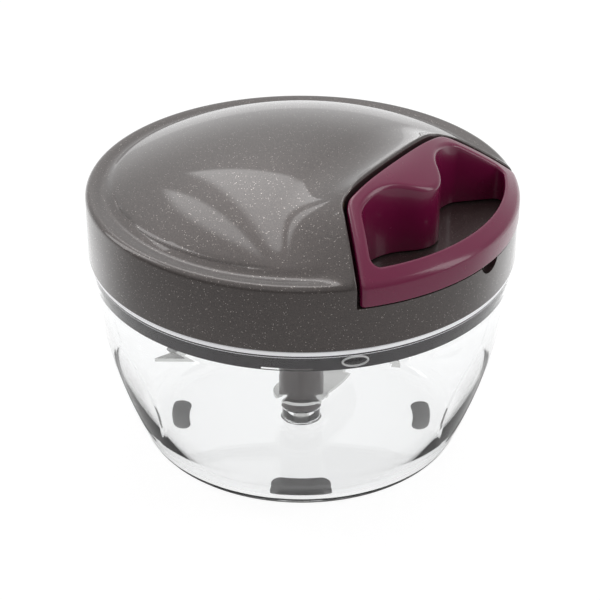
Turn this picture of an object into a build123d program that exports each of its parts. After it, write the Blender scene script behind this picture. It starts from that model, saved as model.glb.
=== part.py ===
from build123d import *
import os
from math import acos, atan2, cos, degrees, exp, hypot, log, radians, sin, sqrt

# A hand food chopper driven by a pull cord: a clear bowl, a domed lid that holds the cord drive,
# a two-finger handle docked in the lid's edge, and a stem of blades that turns on a pin in the bowl.
# Millimetres, +Z up. The origin is the middle of the base, on the surface that the foot pads stand on.
# The handle pulls along +X. Angles are degrees in plan from +X.

# ---- shared clearances
PRESS_GAP = 0.02
RUNNING_GAP = 0.06
SEAT_GAP = 0.3
FUSE = 0.4  # how deep a feature starts inside the body that it grows from

# ---- outer shape of the lid
LID_RADIUS = 65.0
LID_EDGE_Z = 65.0  # lower edge of the lid's wall
LID_WALL = 2.2
WALL_HEIGHT = 20.6
EDGE_ROUND = 2.0
VALLEY_INSET = 5.5  # width of the rim band between the wall and the dome
VALLEY_DROP = 0.3  # the dome's foot lies this far below the rim band
DOME_ROOM = 3.8  # from the recoil spring's cover up to the inside of the dome
CAVITY_INSET = 3.5  # hollow of the dome, inside its foot
CREST_RISE = 1.8  # the lid rises to a lip round the handle, this far above the dome's top
CREST_APEX_RISE = 9.4
CREST_DROP = 0.35  # of the lip at the wall, below the rim band
CREST_BLEND = 1.0
LIP_WIDTH = 2.0
LIP_FLARE = 18.0  # width over which the lip sinks back into the dome
LIP_CORNER = 3.0
LIP_SETBACK = 0.6  # of the lip's end from the outside of the wall
SKIN_POINTS = 35  # points along each side of the grid that the lid's skin passes through
SKIN_MARGIN = 3.0  # of the skin and the dock beyond the wall
SKIN_LEVEL_MARGIN = 1.0  # the skin stops falling this far beyond the wall

# ---- bowl
BOWL_FRONT_ANGLE = -56.0
BASE_Z = 0.6  # underside of the bowl, held this high by the pads
BOWL_WALL = 2.2
BOWL_FLOOR = 2.4
COLLAR_INSET = 1.8  # collar inside the lid's wall
COLLAR_WALL = 2.2
COLLAR_HEIGHT = 4.8
LID_SEAT_GAP = 0.4
FLANGE_INSET = 0.7
FLANGE_HEIGHT = 1.9
FLANGE_ROUND = 0.3
NECK_INSET = 0.4  # wall below the flange
NECK_HEIGHT = 7.4  # straight stretch of the wall below the lid's edge
RING_LEDGE = 0.5  # step in the neck that the collar's ring stands on
RING_NOTCH_ANGLE = 13.5
RING_NOTCH_END_ANGLE = 2.9  # past the bowl's front
RING_NOTCH_DEPTH = 0.8
BELLY_INSET = 4.4  # half way up the wall, inside the neck
SHOULDER_INSET = 13.4
SHOULDER_HEIGHT = 4.9
BASE_INSET = 6.3  # flat base inside the shoulder

GRIP_WIDTH = 24.0  # leaf-shaped hollows for the fingers, two pairs
GRIP_HEIGHT = 39.0
GRIP_DEPTH = 0.7
GRIP_DROP = 36.0  # below the lid's edge
GRIP_ANGLE = 58.0  # each side of the front, and the same at the back
DIMPLE_RADIUS = 8.2
DIMPLE_DROP = 21.9
NUB_LENGTH = 8.0  # oval ring just under the flange
NUB_HEIGHT = 3.6
NUB_WIDTH = 0.6
NUB_RISE = 0.4
NUB_DROP = 4.2
NUB_ANGLE = 13.6

PAD_COUNT = 4
PAD_INSET = 5.0
PAD_WIDTH = 6.0
PAD_ANGLE = 18.0
PAD_THICKNESS = 1.4

PIN_RADIUS = 2.5
PIN_ROUND = 2.0
PIN_SOCKET = 1.2  # depth of the pin's foot in the floor
PIN_BOSS_WALL = 3.5
PIN_BOSS_HEIGHT = 5.0
PIN_HEIGHT = 21.0  # above the floor
PIN_HEAD_ROOM = 1.0

# ---- bayonet between bowl and lid
LUG_COUNT = 4
LUG_ANGLE = 24.0
LUG_HEIGHT = 1.6
LUG_START_ANGLE = 45.0
LUG_OPEN_ANGLE = 33.0  # the lid's lugs stand this far behind the collar's when the lid is set down
LUG_GAP = 0.4

# ---- base plate and seal of the lid
PLATE_THICKNESS = 2.0
PLATE_GAP = 0.6  # above the collar
SKIRT_HEIGHT = 12.0
SKIRT_GAP = 0.6
SKIRT_WALL = 2.0
SEAL_RISE = 2.2  # above the skirt's lower edge
SEAL_HEIGHT = 2.4
SEAL_DEPTH = 1.2
SEAL_GAP = 0.2
SEAL_ROUND = 0.3

# ---- handle and its dock in the lid
HANDLE_DEPTH = 32.5  # from its inner face to the lid's wall
HANDLE_STAND = 0.3  # outer face proud of the wall
HANDLE_CORNER_Y = 26.5
HANDLE_CORNER_ROUND = 7.0
FLANK_ANGLE = 46.0
HANDLE_RISE = 13.3  # underside above the lid's edge
HANDLE_SINK = 0.3  # top of the handle below the lip
HANDLE_EDGE_ROUND = 0.6
HOLE_RIM = 4.8  # outer bar of the handle
HOLE_FLANK = 4.0  # side bars
HOLE_BAR = 4.1  # inner bar
HOLE_CORNER_ROUND = 2.5
LOBE_INSET = 5.0  # widest inner point of a finger's lobe, inside the handle's corner
LOBE_RUN = 5.5
LOBE_EASE = 0.6
LOBE_LEAD = 1.6
CUSP_LENGTH = 9.9
CUSP_HALF_WIDTH = 5.4
CUSP_ROUND = 1.9
CUSP_FOOT = 3.7
CUSP_FLARE = 4.6
DOCK_GAP = 1.1
DOCK_FLOOR_GAP = 0.4
DOCK_WALL = 2.0
DOCK_FLOOR = 3.6
THUMB_NOTCH_WIDTH = 9.0
THUMB_NOTCH_DEPTH = 3.0
THUMB_NOTCH_LENGTH = 4.0

# ---- screws that hold the base plate to the cover
SCREW_COUNT = 6
SCREW_INSET = 7.2  # from the inside of the skirt
SCREW_RADIUS = 1.2
SCREW_LENGTH = 6.4
SCREW_HEAD_RADIUS = 2.6
SCREW_HEAD_HEIGHT = 1.7
SCREW_BOSS_WALL = 2.4

# ---- spool and its cord
CORD_RADIUS = 0.9
CORD_TURNS = 3
CORD_PITCH = 1.7
CORD_DRUM_GAP = 0.1
CORD_TAIL = 9.0  # straight run that belongs to the winding
CORD_SPLIT = 0.2  # between the winding's tail and the free cord
CORD_LEAD = 3.9  # from the cord's bend to the dock's wall
CORD_BEND = 6.0
SPOOL_GAP = 0.4
SPOOL_DOCK_GAP = 5.9
SPOOL_WEB = 1.6
SPOOL_CHANNEL = 6.0
SPOOL_FLANGE = 1.4
SPOOL_FLANGE_COVER = 3.5  # flange beyond the middle of the cord
EYELET_BORE = 1.25
EYELET_WALL = 0.95
EYELET_LIP = 1.0
EYELET_FLANGE = 0.7
FERRULE_RADIUS = 2.4
FERRULE_LENGTH = 5.0
FERRULE_INSET = 5.0  # from the handle's inner face
FERRULE_GAP = 0.3

# ---- recoil spring and axle
SPRING_CUP_INSET = 2.5
SPRING_CUP_WALL = 1.4
SPRING_CUP_DEPTH = 5.8
SPRING_COVER = 0.8
SPRING_THICKNESS = 0.5
SPRING_HEIGHT = 4.8
SPRING_TURNS = 4.5
SPRING_POINTS_PER_TURN = 12
SPRING_CLEAR = 0.4
AXLE_RADIUS = 2.5
AXLE_GRIP = 6.0
ARBOR_WALL = 2.3
WASHER_LIP = 2.1  # washer beyond the axle
WASHER_THICKNESS = 0.7
AXLE_SCREW_RADIUS = 1.0
AXLE_SCREW_LENGTH = 6.0
AXLE_SCREW_END_GAP = 1.0
AXLE_SCREW_HEAD = 1.7

# ---- drive hub
HUB_RADIUS = 8.0
HUB_WALL = 1.4
HUB_BOSS_WALL = 3.0
HUB_BOSS_RISE = 1.4
HUB_BOSS_DROP = 7.0
HUB_FLANGE_WIDTH = 5.0
HUB_FLANGE_HEIGHT = 1.5
HUB_RECESS_GAP = 0.8  # round the washer
RATCHET_TEETH = 6
RATCHET_HEIGHT = 3.8
TOOTH_DEPTH = 2.5
TOOTH_SINK = 1.0
SOCKET_DEPTH = 6.4
SPLINE_COUNT = 3
SPLINE_WIDTH = 2.0
SPLINE_GAP = 0.3

# ---- pawls of the one-way clutch, on the underside of the spool
PAWL_COUNT = 2
PAWL_REACH = 7.0  # from the ratchet's root to the pivot
PAWL_EYE_RADIUS = 2.3
PAWL_ARM_LOW_ANGLE = 195.0  # where the arm's edges leave the eye
PAWL_ARM_HIGH_ANGLE = 72.0
PAWL_PIN_RADIUS = 1.0
PAWL_PIN_ROOT = 1.0
PAWL_HEIGHT = 3.2
PAWL_TIP_ANGLE = 40.0
PAWL_TIP_RISE = 0.7
PAWL_TIP_WIDTH = 1.2
PAWL_TIP_GAP_ANGLE = 1.5  # between the pawl's tip and the tooth that it drives

# ---- blades
BLADE_NAMES = ("lower_blade", "middle_blade", "upper_blade")
BLADE_RISE = 9.5  # lowest blade above the floor
BLADE_SPACING = 15.5
BLADE_STEP_ANGLE = 120.0
BLADE_START_ANGLE = 94.0
BLADE_THICKNESS = 1.2
BLADE_ROOT_WALL = 4.2
BLADE_TIP_GAP = 3.1  # from the blade's end to the bowl's shoulder
BLADE_WIDTH = 14.0
BLADE_SWEEP = 7.0
BLADE_EDGE_BULGE = 6.2
BLADE_BACK_DIP = 1.2
STEM_RADIUS = 7.0
STEM_ROUND = 1.0
STEM_CORE_RADIUS = 4.6
STEM_NECK_RADIUS = 4.4
STEM_HEAD_LENGTH = 8.0
STEM_TOP_GAP = 0.6

# ---- radii and places in plan that follow
LID_BORE = LID_RADIUS - LID_WALL
VALLEY_RADIUS = LID_RADIUS - VALLEY_INSET
FLANGE_RADIUS = LID_RADIUS - FLANGE_INSET
NECK_RADIUS = FLANGE_RADIUS - NECK_INSET
NECK_BORE = NECK_RADIUS - BOWL_WALL
RIM_RADIUS = LID_BORE - COLLAR_INSET
COLLAR_BORE = RIM_RADIUS - COLLAR_WALL
BELLY_RADIUS = NECK_RADIUS - BELLY_INSET
SHOULDER_RADIUS = NECK_RADIUS - SHOULDER_INSET
BASE_RADIUS = SHOULDER_RADIUS - BASE_INSET
PAD_RADIUS = BASE_RADIUS - PAD_INSET
SKIRT_RADIUS = COLLAR_BORE - SKIRT_GAP
SKIRT_BORE = SKIRT_RADIUS - SKIRT_WALL
SCREW_CIRCLE = SKIRT_BORE - SCREW_INSET
SCREW_START_ANGLE = 180 / SCREW_COUNT
HANDLE_RADIUS = LID_RADIUS + HANDLE_STAND
HANDLE_INNER_X = LID_RADIUS - HANDLE_DEPTH
HOLE_INNER_X = HANDLE_INNER_X + HOLE_BAR
HOLE_OUTER_RADIUS = HANDLE_RADIUS - HOLE_RIM
HOLE_LOBE_Y = HANDLE_CORNER_Y - LOBE_INSET
CUSP_TIP_X = HOLE_INNER_X + CUSP_LENGTH
FLANK_DIRECTION = (cos(radians(FLANK_ANGLE)), sin(radians(FLANK_ANGLE)))
DOCK_FACE_X = HANDLE_INNER_X - DOCK_GAP
DOCK_BACK_X = DOCK_FACE_X - DOCK_WALL
CORD_CORNER_X = DOCK_BACK_X - CORD_LEAD
FERRULE_X = HANDLE_INNER_X + FERRULE_INSET
SPOOL_FLANGE_RADIUS = DOCK_BACK_X - SPOOL_DOCK_GAP
CORD_LINE_RADIUS = SPOOL_FLANGE_RADIUS - SPOOL_FLANGE_COVER  # to the cord's middle
DRUM_RADIUS = CORD_LINE_RADIUS - CORD_RADIUS - CORD_DRUM_GAP
SPRING_CUP_RADIUS = SPOOL_FLANGE_RADIUS - SPRING_CUP_INSET
ARBOR_RADIUS = AXLE_RADIUS + ARBOR_WALL
WASHER_RADIUS = AXLE_RADIUS + WASHER_LIP
SOCKET_RADIUS = HUB_RADIUS - HUB_WALL
HUB_RECESS_RADIUS = WASHER_RADIUS + HUB_RECESS_GAP
PAWL_PIVOT_RADIUS = HUB_RADIUS + PAWL_REACH
EYELET_RADIUS = EYELET_BORE + EYELET_WALL
BLADE_TIP = SHOULDER_RADIUS - BOWL_WALL - BLADE_TIP_GAP

# ---- heights that follow
FLOOR_Z = BASE_Z + BOWL_FLOOR
SHOULDER_Z = BASE_Z + SHOULDER_HEIGHT
NECK_Z = LID_EDGE_Z - NECK_HEIGHT
FLANGE_TOP_Z = LID_EDGE_Z - LID_SEAT_GAP
FLANGE_BOTTOM_Z = FLANGE_TOP_Z - FLANGE_HEIGHT
COLLAR_TOP_Z = FLANGE_TOP_Z + COLLAR_HEIGHT
PLATE_Z = COLLAR_TOP_Z + PLATE_GAP
PLATE_TOP_Z = PLATE_Z + PLATE_THICKNESS
SKIRT_Z = PLATE_Z - SKIRT_HEIGHT
SEAL_Z = SKIRT_Z + SEAL_RISE
WALL_TOP_Z = LID_EDGE_Z + WALL_HEIGHT
HUB_BOTTOM_Z = PLATE_Z - HUB_BOSS_DROP
HUB_BOSS_TOP_Z = PLATE_TOP_Z + HUB_BOSS_RISE
HUB_FLANGE_Z = HUB_BOSS_TOP_Z + SEAT_GAP
RATCHET_Z = HUB_FLANGE_Z + HUB_FLANGE_HEIGHT
RATCHET_TOP_Z = RATCHET_Z + RATCHET_HEIGHT
SPOOL_Z = RATCHET_TOP_Z + SPOOL_GAP
PAWL_Z = SPOOL_Z - SEAT_GAP - PAWL_HEIGHT
DRUM_Z = SPOOL_Z + SPOOL_WEB
CORD_Z = DRUM_Z + SPOOL_CHANNEL / 2
DRUM_TOP_Z = DRUM_Z + SPOOL_CHANNEL
CUP_FLOOR_Z = DRUM_TOP_Z + SPOOL_FLANGE
CUP_TOP_Z = CUP_FLOOR_Z + SPRING_CUP_DEPTH
ARBOR_Z = CUP_FLOOR_Z + SPRING_CLEAR
DOME_TOP_Z = CUP_TOP_Z + SPRING_COVER + DOME_ROOM + LID_WALL
CREST_TOP_Z = DOME_TOP_Z + CREST_RISE
AXLE_BOTTOM_Z = SPOOL_Z - SEAT_GAP
WASHER_Z = AXLE_BOTTOM_Z - WASHER_THICKNESS
HANDLE_BOTTOM_Z = LID_EDGE_Z + HANDLE_RISE
DOCK_FLOOR_Z = HANDLE_BOTTOM_Z - DOCK_FLOOR_GAP
STEM_BOTTOM_Z = FLOOR_Z + PIN_BOSS_HEIGHT + SEAT_GAP
STEM_TOP_Z = HUB_BOTTOM_Z + SOCKET_DEPTH - STEM_TOP_GAP
STEM_NECK_Z = STEM_TOP_Z - STEM_HEAD_LENGTH

os.makedirs("parts", exist_ok=True)


def around(angle, radius):
    """Point in plan at an angle and a radius."""
    return (radius * cos(radians(angle)), radius * sin(radians(angle)))


def side_plane(angle, radius, level):
    """Upright plane at an angle and a distance from the axis, facing outwards."""
    outward = around(angle, 1)
    origin = (outward[0] * radius, outward[1] * radius, level)
    return Plane(origin, x_dir=(-outward[1], outward[0], 0), z_dir=(*outward, 0))


def on_circle(edge, radius):
    """Whether an edge is a circle of this radius."""
    return edge.geom_type == GeomType.CIRCLE and abs(edge.radius - radius) < RUNNING_GAP


def finish(piece, label):
    """Name a finished piece and write its STEP file."""
    piece.part.label = label
    export_step(piece.part, f"parts/{label}.step")


def ring_profile(inner, outer, bottom, top):
    """Rectangle in the XZ plane that a revolve turns into a ring."""
    Polygon((inner, bottom), (outer, bottom), (outer, top), (inner, top), align=None)


def sector(inner, outer, start, span):
    """Plan face of a ring's sector, from a start angle over a span."""
    with BuildSketch() as face:
        with BuildLine():
            far = CenterArc((0, 0), outer, start, span)
            near = CenterArc((0, 0), inner, start, span)
            Line(far @ 0, near @ 0)
            Line(far @ 1, near @ 1)
        make_face()
    return face.sketch


def bowl_wall_line(inset, bottom, neck):
    """Half outline of the bowl from the axis up to the foot of its neck, moved in by a wall."""
    base = (BASE_RADIUS - inset / 2, bottom)
    shoulder = (SHOULDER_RADIUS - inset, SHOULDER_Z + inset)
    Line((0, bottom), base)
    TangentArc(base, shoulder, tangent=(1, 0))
    ThreePointArc(shoulder, (BELLY_RADIUS - inset, (SHOULDER_Z + NECK_Z) / 2), (neck, NECK_Z))


def pad_slots(clearance):
    """Curved slots for the foot pads, at quarter turns from the bowl's front."""
    for pad in range(PAD_COUNT):
        start = BOWL_FRONT_ANGLE + pad * 360 / PAD_COUNT - PAD_ANGLE / 2
        SlotArc(CenterArc((0, 0), PAD_RADIUS, start, PAD_ANGLE), PAD_WIDTH + 2 * clearance)


def lug_start(lug):
    """Angle at which one of the collar's bayonet lugs starts."""
    return LUG_START_ANGLE + lug * 360 / LUG_COUNT - LUG_ANGLE / 2


# ==== bowl
with BuildPart() as grip_tool:
    for side in (GRIP_ANGLE, -GRIP_ANGLE, 180 - GRIP_ANGLE, 180 + GRIP_ANGLE):
        with BuildSketch(side_plane(BOWL_FRONT_ANGLE + side, 0, LID_EDGE_Z - GRIP_DROP)):
            with BuildLine():
                ThreePointArc((0, -GRIP_HEIGHT / 2), (GRIP_WIDTH / 2, 0), (0, GRIP_HEIGHT / 2))
                ThreePointArc((0, GRIP_HEIGHT / 2), (-GRIP_WIDTH / 2, 0), (0, -GRIP_HEIGHT / 2))
            make_face()
        extrude(amount=LID_RADIUS)
    with BuildSketch(side_plane(BOWL_FRONT_ANGLE, 0, LID_EDGE_Z - DIMPLE_DROP)):
        Circle(DIMPLE_RADIUS)
    extrude(amount=LID_RADIUS)
    # what lies deeper than the grips' hollow stays
    with BuildSketch(Plane.XZ):
        with BuildLine():
            bowl_wall_line(GRIP_DEPTH, BASE_Z, NECK_RADIUS - GRIP_DEPTH)
            Polyline((NECK_RADIUS - GRIP_DEPTH, NECK_Z), (0, NECK_Z), (0, BASE_Z))
        make_face()
    revolve(mode=Mode.SUBTRACT)

with BuildPart() as bowl:
    with BuildSketch(Plane.XZ):
        with BuildLine():
            bowl_wall_line(0, BASE_Z, NECK_RADIUS)
            Polyline(
                (NECK_RADIUS, NECK_Z),
                (NECK_RADIUS, FLANGE_BOTTOM_Z),
                (FLANGE_RADIUS, FLANGE_BOTTOM_Z),
                (FLANGE_RADIUS, FLANGE_TOP_Z),
                (0, FLANGE_TOP_Z),
                (0, BASE_Z),
            )
        make_face()
    revolve()
    fillet(bowl.edges().filter_by(lambda edge: on_circle(edge, FLANGE_RADIUS)), FLANGE_ROUND)
    # inside of the bowl, with a ledge for the collar's ring
    with BuildSketch(Plane.XZ):
        with BuildLine():
            bowl_wall_line(BOWL_WALL, FLOOR_Z, NECK_BORE - RING_LEDGE)
            Polyline(
                (NECK_BORE - RING_LEDGE, NECK_Z),
                (NECK_BORE, NECK_Z),
                (NECK_BORE, FLANGE_TOP_Z),
                (0, FLANGE_TOP_Z),
                (0, FLOOR_Z),
            )
        make_face()
    revolve(mode=Mode.SUBTRACT)
    # boss and bore for the pin
    with BuildSketch(Plane.XY.offset(FLOOR_Z)):
        Circle(PIN_RADIUS + PIN_BOSS_WALL)
    extrude(amount=PIN_BOSS_HEIGHT)
    with BuildSketch(Plane.XY.offset(FLOOR_Z - PIN_SOCKET)):
        Circle(PIN_RADIUS + PRESS_GAP)
    extrude(amount=PIN_SOCKET + PIN_BOSS_HEIGHT, mode=Mode.SUBTRACT)
    # recesses for the pads
    with BuildSketch(Plane.XY.offset(BASE_Z)):
        pad_slots(PRESS_GAP)
    extrude(amount=PAD_THICKNESS - BASE_Z, mode=Mode.SUBTRACT)
    add(grip_tool.part, mode=Mode.SUBTRACT)
    # oval ring under the flange, grown from the middle of the wall
    nub_root = NECK_BORE + BOWL_WALL / 2
    with BuildSketch(side_plane(BOWL_FRONT_ANGLE + NUB_ANGLE, nub_root, LID_EDGE_Z - NUB_DROP)):
        Ellipse(NUB_LENGTH / 2, NUB_HEIGHT / 2)
        Ellipse(NUB_LENGTH / 2 - NUB_WIDTH, NUB_HEIGHT / 2 - NUB_WIDTH, mode=Mode.SUBTRACT)
    extrude(amount=BOWL_WALL / 2 + NUB_RISE)
finish(bowl, "bowl")

with BuildPart() as collar_ring:
    with BuildSketch(Plane.XZ):
        ring_profile(COLLAR_BORE, NECK_BORE - PRESS_GAP, NECK_Z, FLANGE_TOP_Z)
        ring_profile(COLLAR_BORE, RIM_RADIUS, FLANGE_TOP_Z, COLLAR_TOP_Z)
    revolve()
    # bayonet lugs on the collar
    with BuildSketch(Plane.XY.offset(COLLAR_TOP_Z - LUG_HEIGHT)):
        for lug in range(LUG_COUNT):
            add(sector(RIM_RADIUS - FUSE, LID_BORE - LUG_GAP, lug_start(lug), LUG_ANGLE))
    extrude(amount=LUG_HEIGHT)
    # shallow notch in the ring's lower edge
    notch_start = BOWL_FRONT_ANGLE + RING_NOTCH_END_ANGLE - RING_NOTCH_ANGLE
    with BuildSketch(Plane.XY.offset(NECK_Z)):
        add(sector(COLLAR_BORE - FUSE, NECK_BORE + FUSE, notch_start, RING_NOTCH_ANGLE))
    extrude(amount=RING_NOTCH_DEPTH, mode=Mode.SUBTRACT)
finish(collar_ring, "collar_ring")

with BuildPart() as foot_pads:
    with BuildSketch():
        pad_slots(0)
    extrude(amount=PAD_THICKNESS)
finish(foot_pads, "foot_pads")

with BuildPart() as bowl_pin:
    with BuildSketch(Plane.XY.offset(FLOOR_Z - PIN_SOCKET)):
        Circle(PIN_RADIUS)
    extrude(amount=PIN_SOCKET + PIN_HEIGHT)
    fillet(bowl_pin.edges().group_by(Axis.Z)[-1], PIN_ROUND)
finish(bowl_pin, "bowl_pin")

# ==== blades on their stem
blade_levels = [FLOOR_Z + BLADE_RISE + number * BLADE_SPACING for number in range(len(BLADE_NAMES))]

with BuildPart() as blade_stem:
    with BuildSketch(Plane.XZ):
        ring_profile(0, STEM_RADIUS, STEM_BOTTOM_Z, STEM_NECK_Z)
        ring_profile(0, STEM_NECK_RADIUS, STEM_NECK_Z, STEM_TOP_Z)
    revolve()
    fillet(blade_stem.edges().filter_by(lambda edge: on_circle(edge, STEM_RADIUS)), STEM_ROUND)
    for level in blade_levels:
        with BuildSketch(Plane.XY.offset(level)):
            Circle(STEM_RADIUS + FUSE)
            Circle(STEM_CORE_RADIUS, mode=Mode.SUBTRACT)
        extrude(amount=BLADE_THICKNESS, mode=Mode.SUBTRACT)
    # ribs that the drive hub turns
    rib_root = STEM_NECK_RADIUS - FUSE
    rib_end = SOCKET_RADIUS - SPLINE_GAP
    with BuildSketch(Plane.XY.offset(STEM_NECK_Z)):
        with PolarLocations((rib_root + rib_end) / 2, SPLINE_COUNT):
            Rectangle(rib_end - rib_root, SPLINE_WIDTH)
    extrude(amount=STEM_HEAD_LENGTH)
    # bore for the pin
    with BuildSketch(Plane.XY.offset(STEM_BOTTOM_Z)):
        Circle(PIN_RADIUS + RUNNING_GAP)
    extrude(amount=FLOOR_Z + PIN_HEIGHT + PIN_HEAD_ROOM - STEM_BOTTOM_Z, mode=Mode.SUBTRACT)
finish(blade_stem, "blade_stem")


def curved_blade(level, turn):
    """One sickle-shaped blade with the ring that the stem is moulded round."""
    tip = (BLADE_TIP, BLADE_SWEEP)
    with BuildPart() as blade:
        with BuildSketch(Plane.XY.offset(level).rotated((0, 0, turn))):
            with BuildLine():
                cutting_edge = SagittaArc((0, -BLADE_WIDTH / 2), tip, -BLADE_EDGE_BULGE)
                back_edge = SagittaArc(tip, (0, BLADE_WIDTH / 2), BLADE_BACK_DIP)
                Line(back_edge @ 1, cutting_edge @ 0)
            make_face()
            Circle(STEM_CORE_RADIUS + BLADE_ROOT_WALL)
            Circle(STEM_CORE_RADIUS + PRESS_GAP, mode=Mode.SUBTRACT)
        extrude(amount=BLADE_THICKNESS)
    return blade


for number, label in enumerate(BLADE_NAMES):
    finish(curved_blade(blade_levels[number], BLADE_START_ANGLE + number * BLADE_STEP_ANGLE), label)


# ==== plan outlines of the handle and its dock
def along_flank(start, radius):
    """Where a line from a start point, along the handle's flank, crosses a circle about the axis."""
    along = start[0] * FLANK_DIRECTION[0] + start[1] * FLANK_DIRECTION[1]
    run = -along + sqrt(along**2 - start[0] ** 2 - start[1] ** 2 + radius**2)
    return (start[0] + run * FLANK_DIRECTION[0], start[1] + run * FLANK_DIRECTION[1])


def handle_outline(radius):
    """Plan face of the handle: straight inner edge, rounded corners, splayed flanks, outer arc."""
    corner = (HANDLE_INNER_X, HANDLE_CORNER_Y)
    end = along_flank(corner, radius)
    with BuildSketch() as outline:
        with BuildLine():
            Polyline((end[0], -end[1]), (corner[0], -corner[1]), corner, end)
            ThreePointArc(end, (radius, 0), (end[0], -end[1]))
        make_face()
        fillet(outline.vertices().group_by(Axis.X)[0], HANDLE_CORNER_ROUND)
    return outline.sketch


def finger_hole():
    """Plan face of the two-finger hole: two lobes either side of a cusp, and an outer arc."""
    start = (
        HANDLE_INNER_X + FLANK_DIRECTION[1] * HOLE_FLANK,
        HANDLE_CORNER_Y - FLANK_DIRECTION[0] * HOLE_FLANK,
    )
    corner = along_flank(start, HOLE_OUTER_RADIUS)
    lead = (HOLE_INNER_X + LOBE_LEAD - start[0]) / FLANK_DIRECTION[0]
    shoulder = (start[0] + lead * FLANK_DIRECTION[0], start[1] + lead * FLANK_DIRECTION[1])
    corner_angle = degrees(atan2(corner[1], corner[0]))
    with BuildSketch() as hole:
        with BuildLine():
            Spline(
                (CUSP_TIP_X, 0),
                (CUSP_TIP_X - CUSP_ROUND, CUSP_HALF_WIDTH),
                (HOLE_INNER_X + CUSP_FOOT, CUSP_HALF_WIDTH + CUSP_FLARE),
                (HOLE_INNER_X + LOBE_EASE, HOLE_LOBE_Y - LOBE_RUN),
                (HOLE_INNER_X, HOLE_LOBE_Y),
                shoulder,
                tangents=[(0, 1), FLANK_DIRECTION],
            )
            Line(shoulder, corner)
            CenterArc((0, 0), HOLE_OUTER_RADIUS, 0, corner_angle)
            mirror(about=Plane.XZ)
        make_face()
        outer_corners = hole.vertices().filter_by_position(
            Axis.X, corner[0] - RUNNING_GAP, corner[0] + RUNNING_GAP
        )
        fillet(outer_corners, HOLE_CORNER_ROUND)
    return hole.sketch


dock_plan = handle_outline(LID_RADIUS + SKIN_MARGIN)
handle_plan = handle_outline(HANDLE_RADIUS)
hole_plan = finger_hole()


# ==== lid: its skin follows a formula
def larger(first, second, blend):
    """The larger of two values, with a smooth change from one to the other."""
    return blend * log(exp(first / blend) + exp(second / blend))


def skin_height(x, y):
    """Height of the lid's skin: a shallow dome that rises to a lip round the handle's dock."""
    radius = min(hypot(x, y), LID_RADIUS + SKIN_LEVEL_MARGIN)
    valley_z = WALL_TOP_Z - VALLEY_DROP
    dome = DOME_TOP_Z - (DOME_TOP_Z - valley_z) * (radius / VALLEY_RADIUS) ** 2
    crest_apex_z = DOME_TOP_Z + CREST_APEX_RISE
    crest_edge_z = WALL_TOP_Z - CREST_DROP
    crest = crest_apex_z - (crest_apex_z - crest_edge_z) * (radius / LID_RADIUS) ** 2
    crest = -larger(-CREST_TOP_Z, -crest, CREST_BLEND)
    from_inner_face = HANDLE_INNER_X - x
    from_flank = (abs(y) - HANDLE_CORNER_Y) * FLANK_DIRECTION[0] + from_inner_face * FLANK_DIRECTION[1]
    distance = larger(from_inner_face, from_flank, LIP_CORNER)
    fall = min(max((distance - LIP_WIDTH) / LIP_FLARE, 0), 1)
    return dome + (crest - dome) * (1 - fall) ** 2


skin_reach = LID_RADIUS + SKIN_MARGIN
skin_step = 2 * skin_reach / (SKIN_POINTS - 1)
skin_lines = [skin_step * number - skin_reach for number in range(SKIN_POINTS)]
skin_grid = [[Vector(x, y, skin_height(x, y)) for y in skin_lines] for x in skin_lines]
skin = Face.make_surface_from_array_of_points(skin_grid, tol=0.02, min_deg=3, max_deg=3)
below_skin = Solid.extrude(skin, Vector(0, 0, -CREST_TOP_Z))


def dome_solid(drop, radius):
    """Solid below the lid's skin, lowered by a drop, inside a cylinder that stands on the lid's edge."""
    cylinder = Solid.make_cylinder(radius, CREST_TOP_Z, Plane.XY.offset(LID_EDGE_Z))
    return below_skin.moved(Location((0, 0, -drop))) & cylinder


def drum_line(inset):
    """Half outline of the lid's drum, without its dome, moved in by a wall."""
    side = LID_RADIUS - inset
    top = WALL_TOP_Z - inset
    Line((0, top), (side - EDGE_ROUND, top))
    TangentArc((side - EDGE_ROUND, top), (side, top - EDGE_ROUND), tangent=(1, 0))
    Polyline((side, top - EDGE_ROUND), (side, LID_EDGE_Z), (0, LID_EDGE_Z), (0, top))


outer_dome = dome_solid(0, LID_RADIUS - LIP_SETBACK)
inner_dome = dome_solid(LID_WALL, VALLEY_RADIUS - CAVITY_INSET)

with BuildPart() as lid_cavity:
    with BuildSketch(Plane.XZ):
        with BuildLine():
            drum_line(LID_WALL)
        make_face()
    revolve()
    add(inner_dome)
    # what stands inside: the tray that the handle docks in, screw bosses, the spring's arbor
    with BuildSketch(Plane.XY.offset(DOCK_FLOOR_Z - DOCK_FLOOR)):
        add(dock_plan)
        offset(amount=DOCK_GAP + DOCK_WALL)
    extrude(amount=CREST_TOP_Z, mode=Mode.SUBTRACT)
    with BuildSketch(Plane.XY.offset(PLATE_TOP_Z)):
        with PolarLocations(SCREW_CIRCLE, SCREW_COUNT, start_angle=SCREW_START_ANGLE):
            Circle(SCREW_RADIUS + SCREW_BOSS_WALL)
    extrude(amount=CREST_TOP_Z, mode=Mode.SUBTRACT)
    with BuildSketch(Plane.XY.offset(ARBOR_Z)):
        Circle(ARBOR_RADIUS)
    extrude(amount=CREST_TOP_Z, mode=Mode.SUBTRACT)

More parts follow.
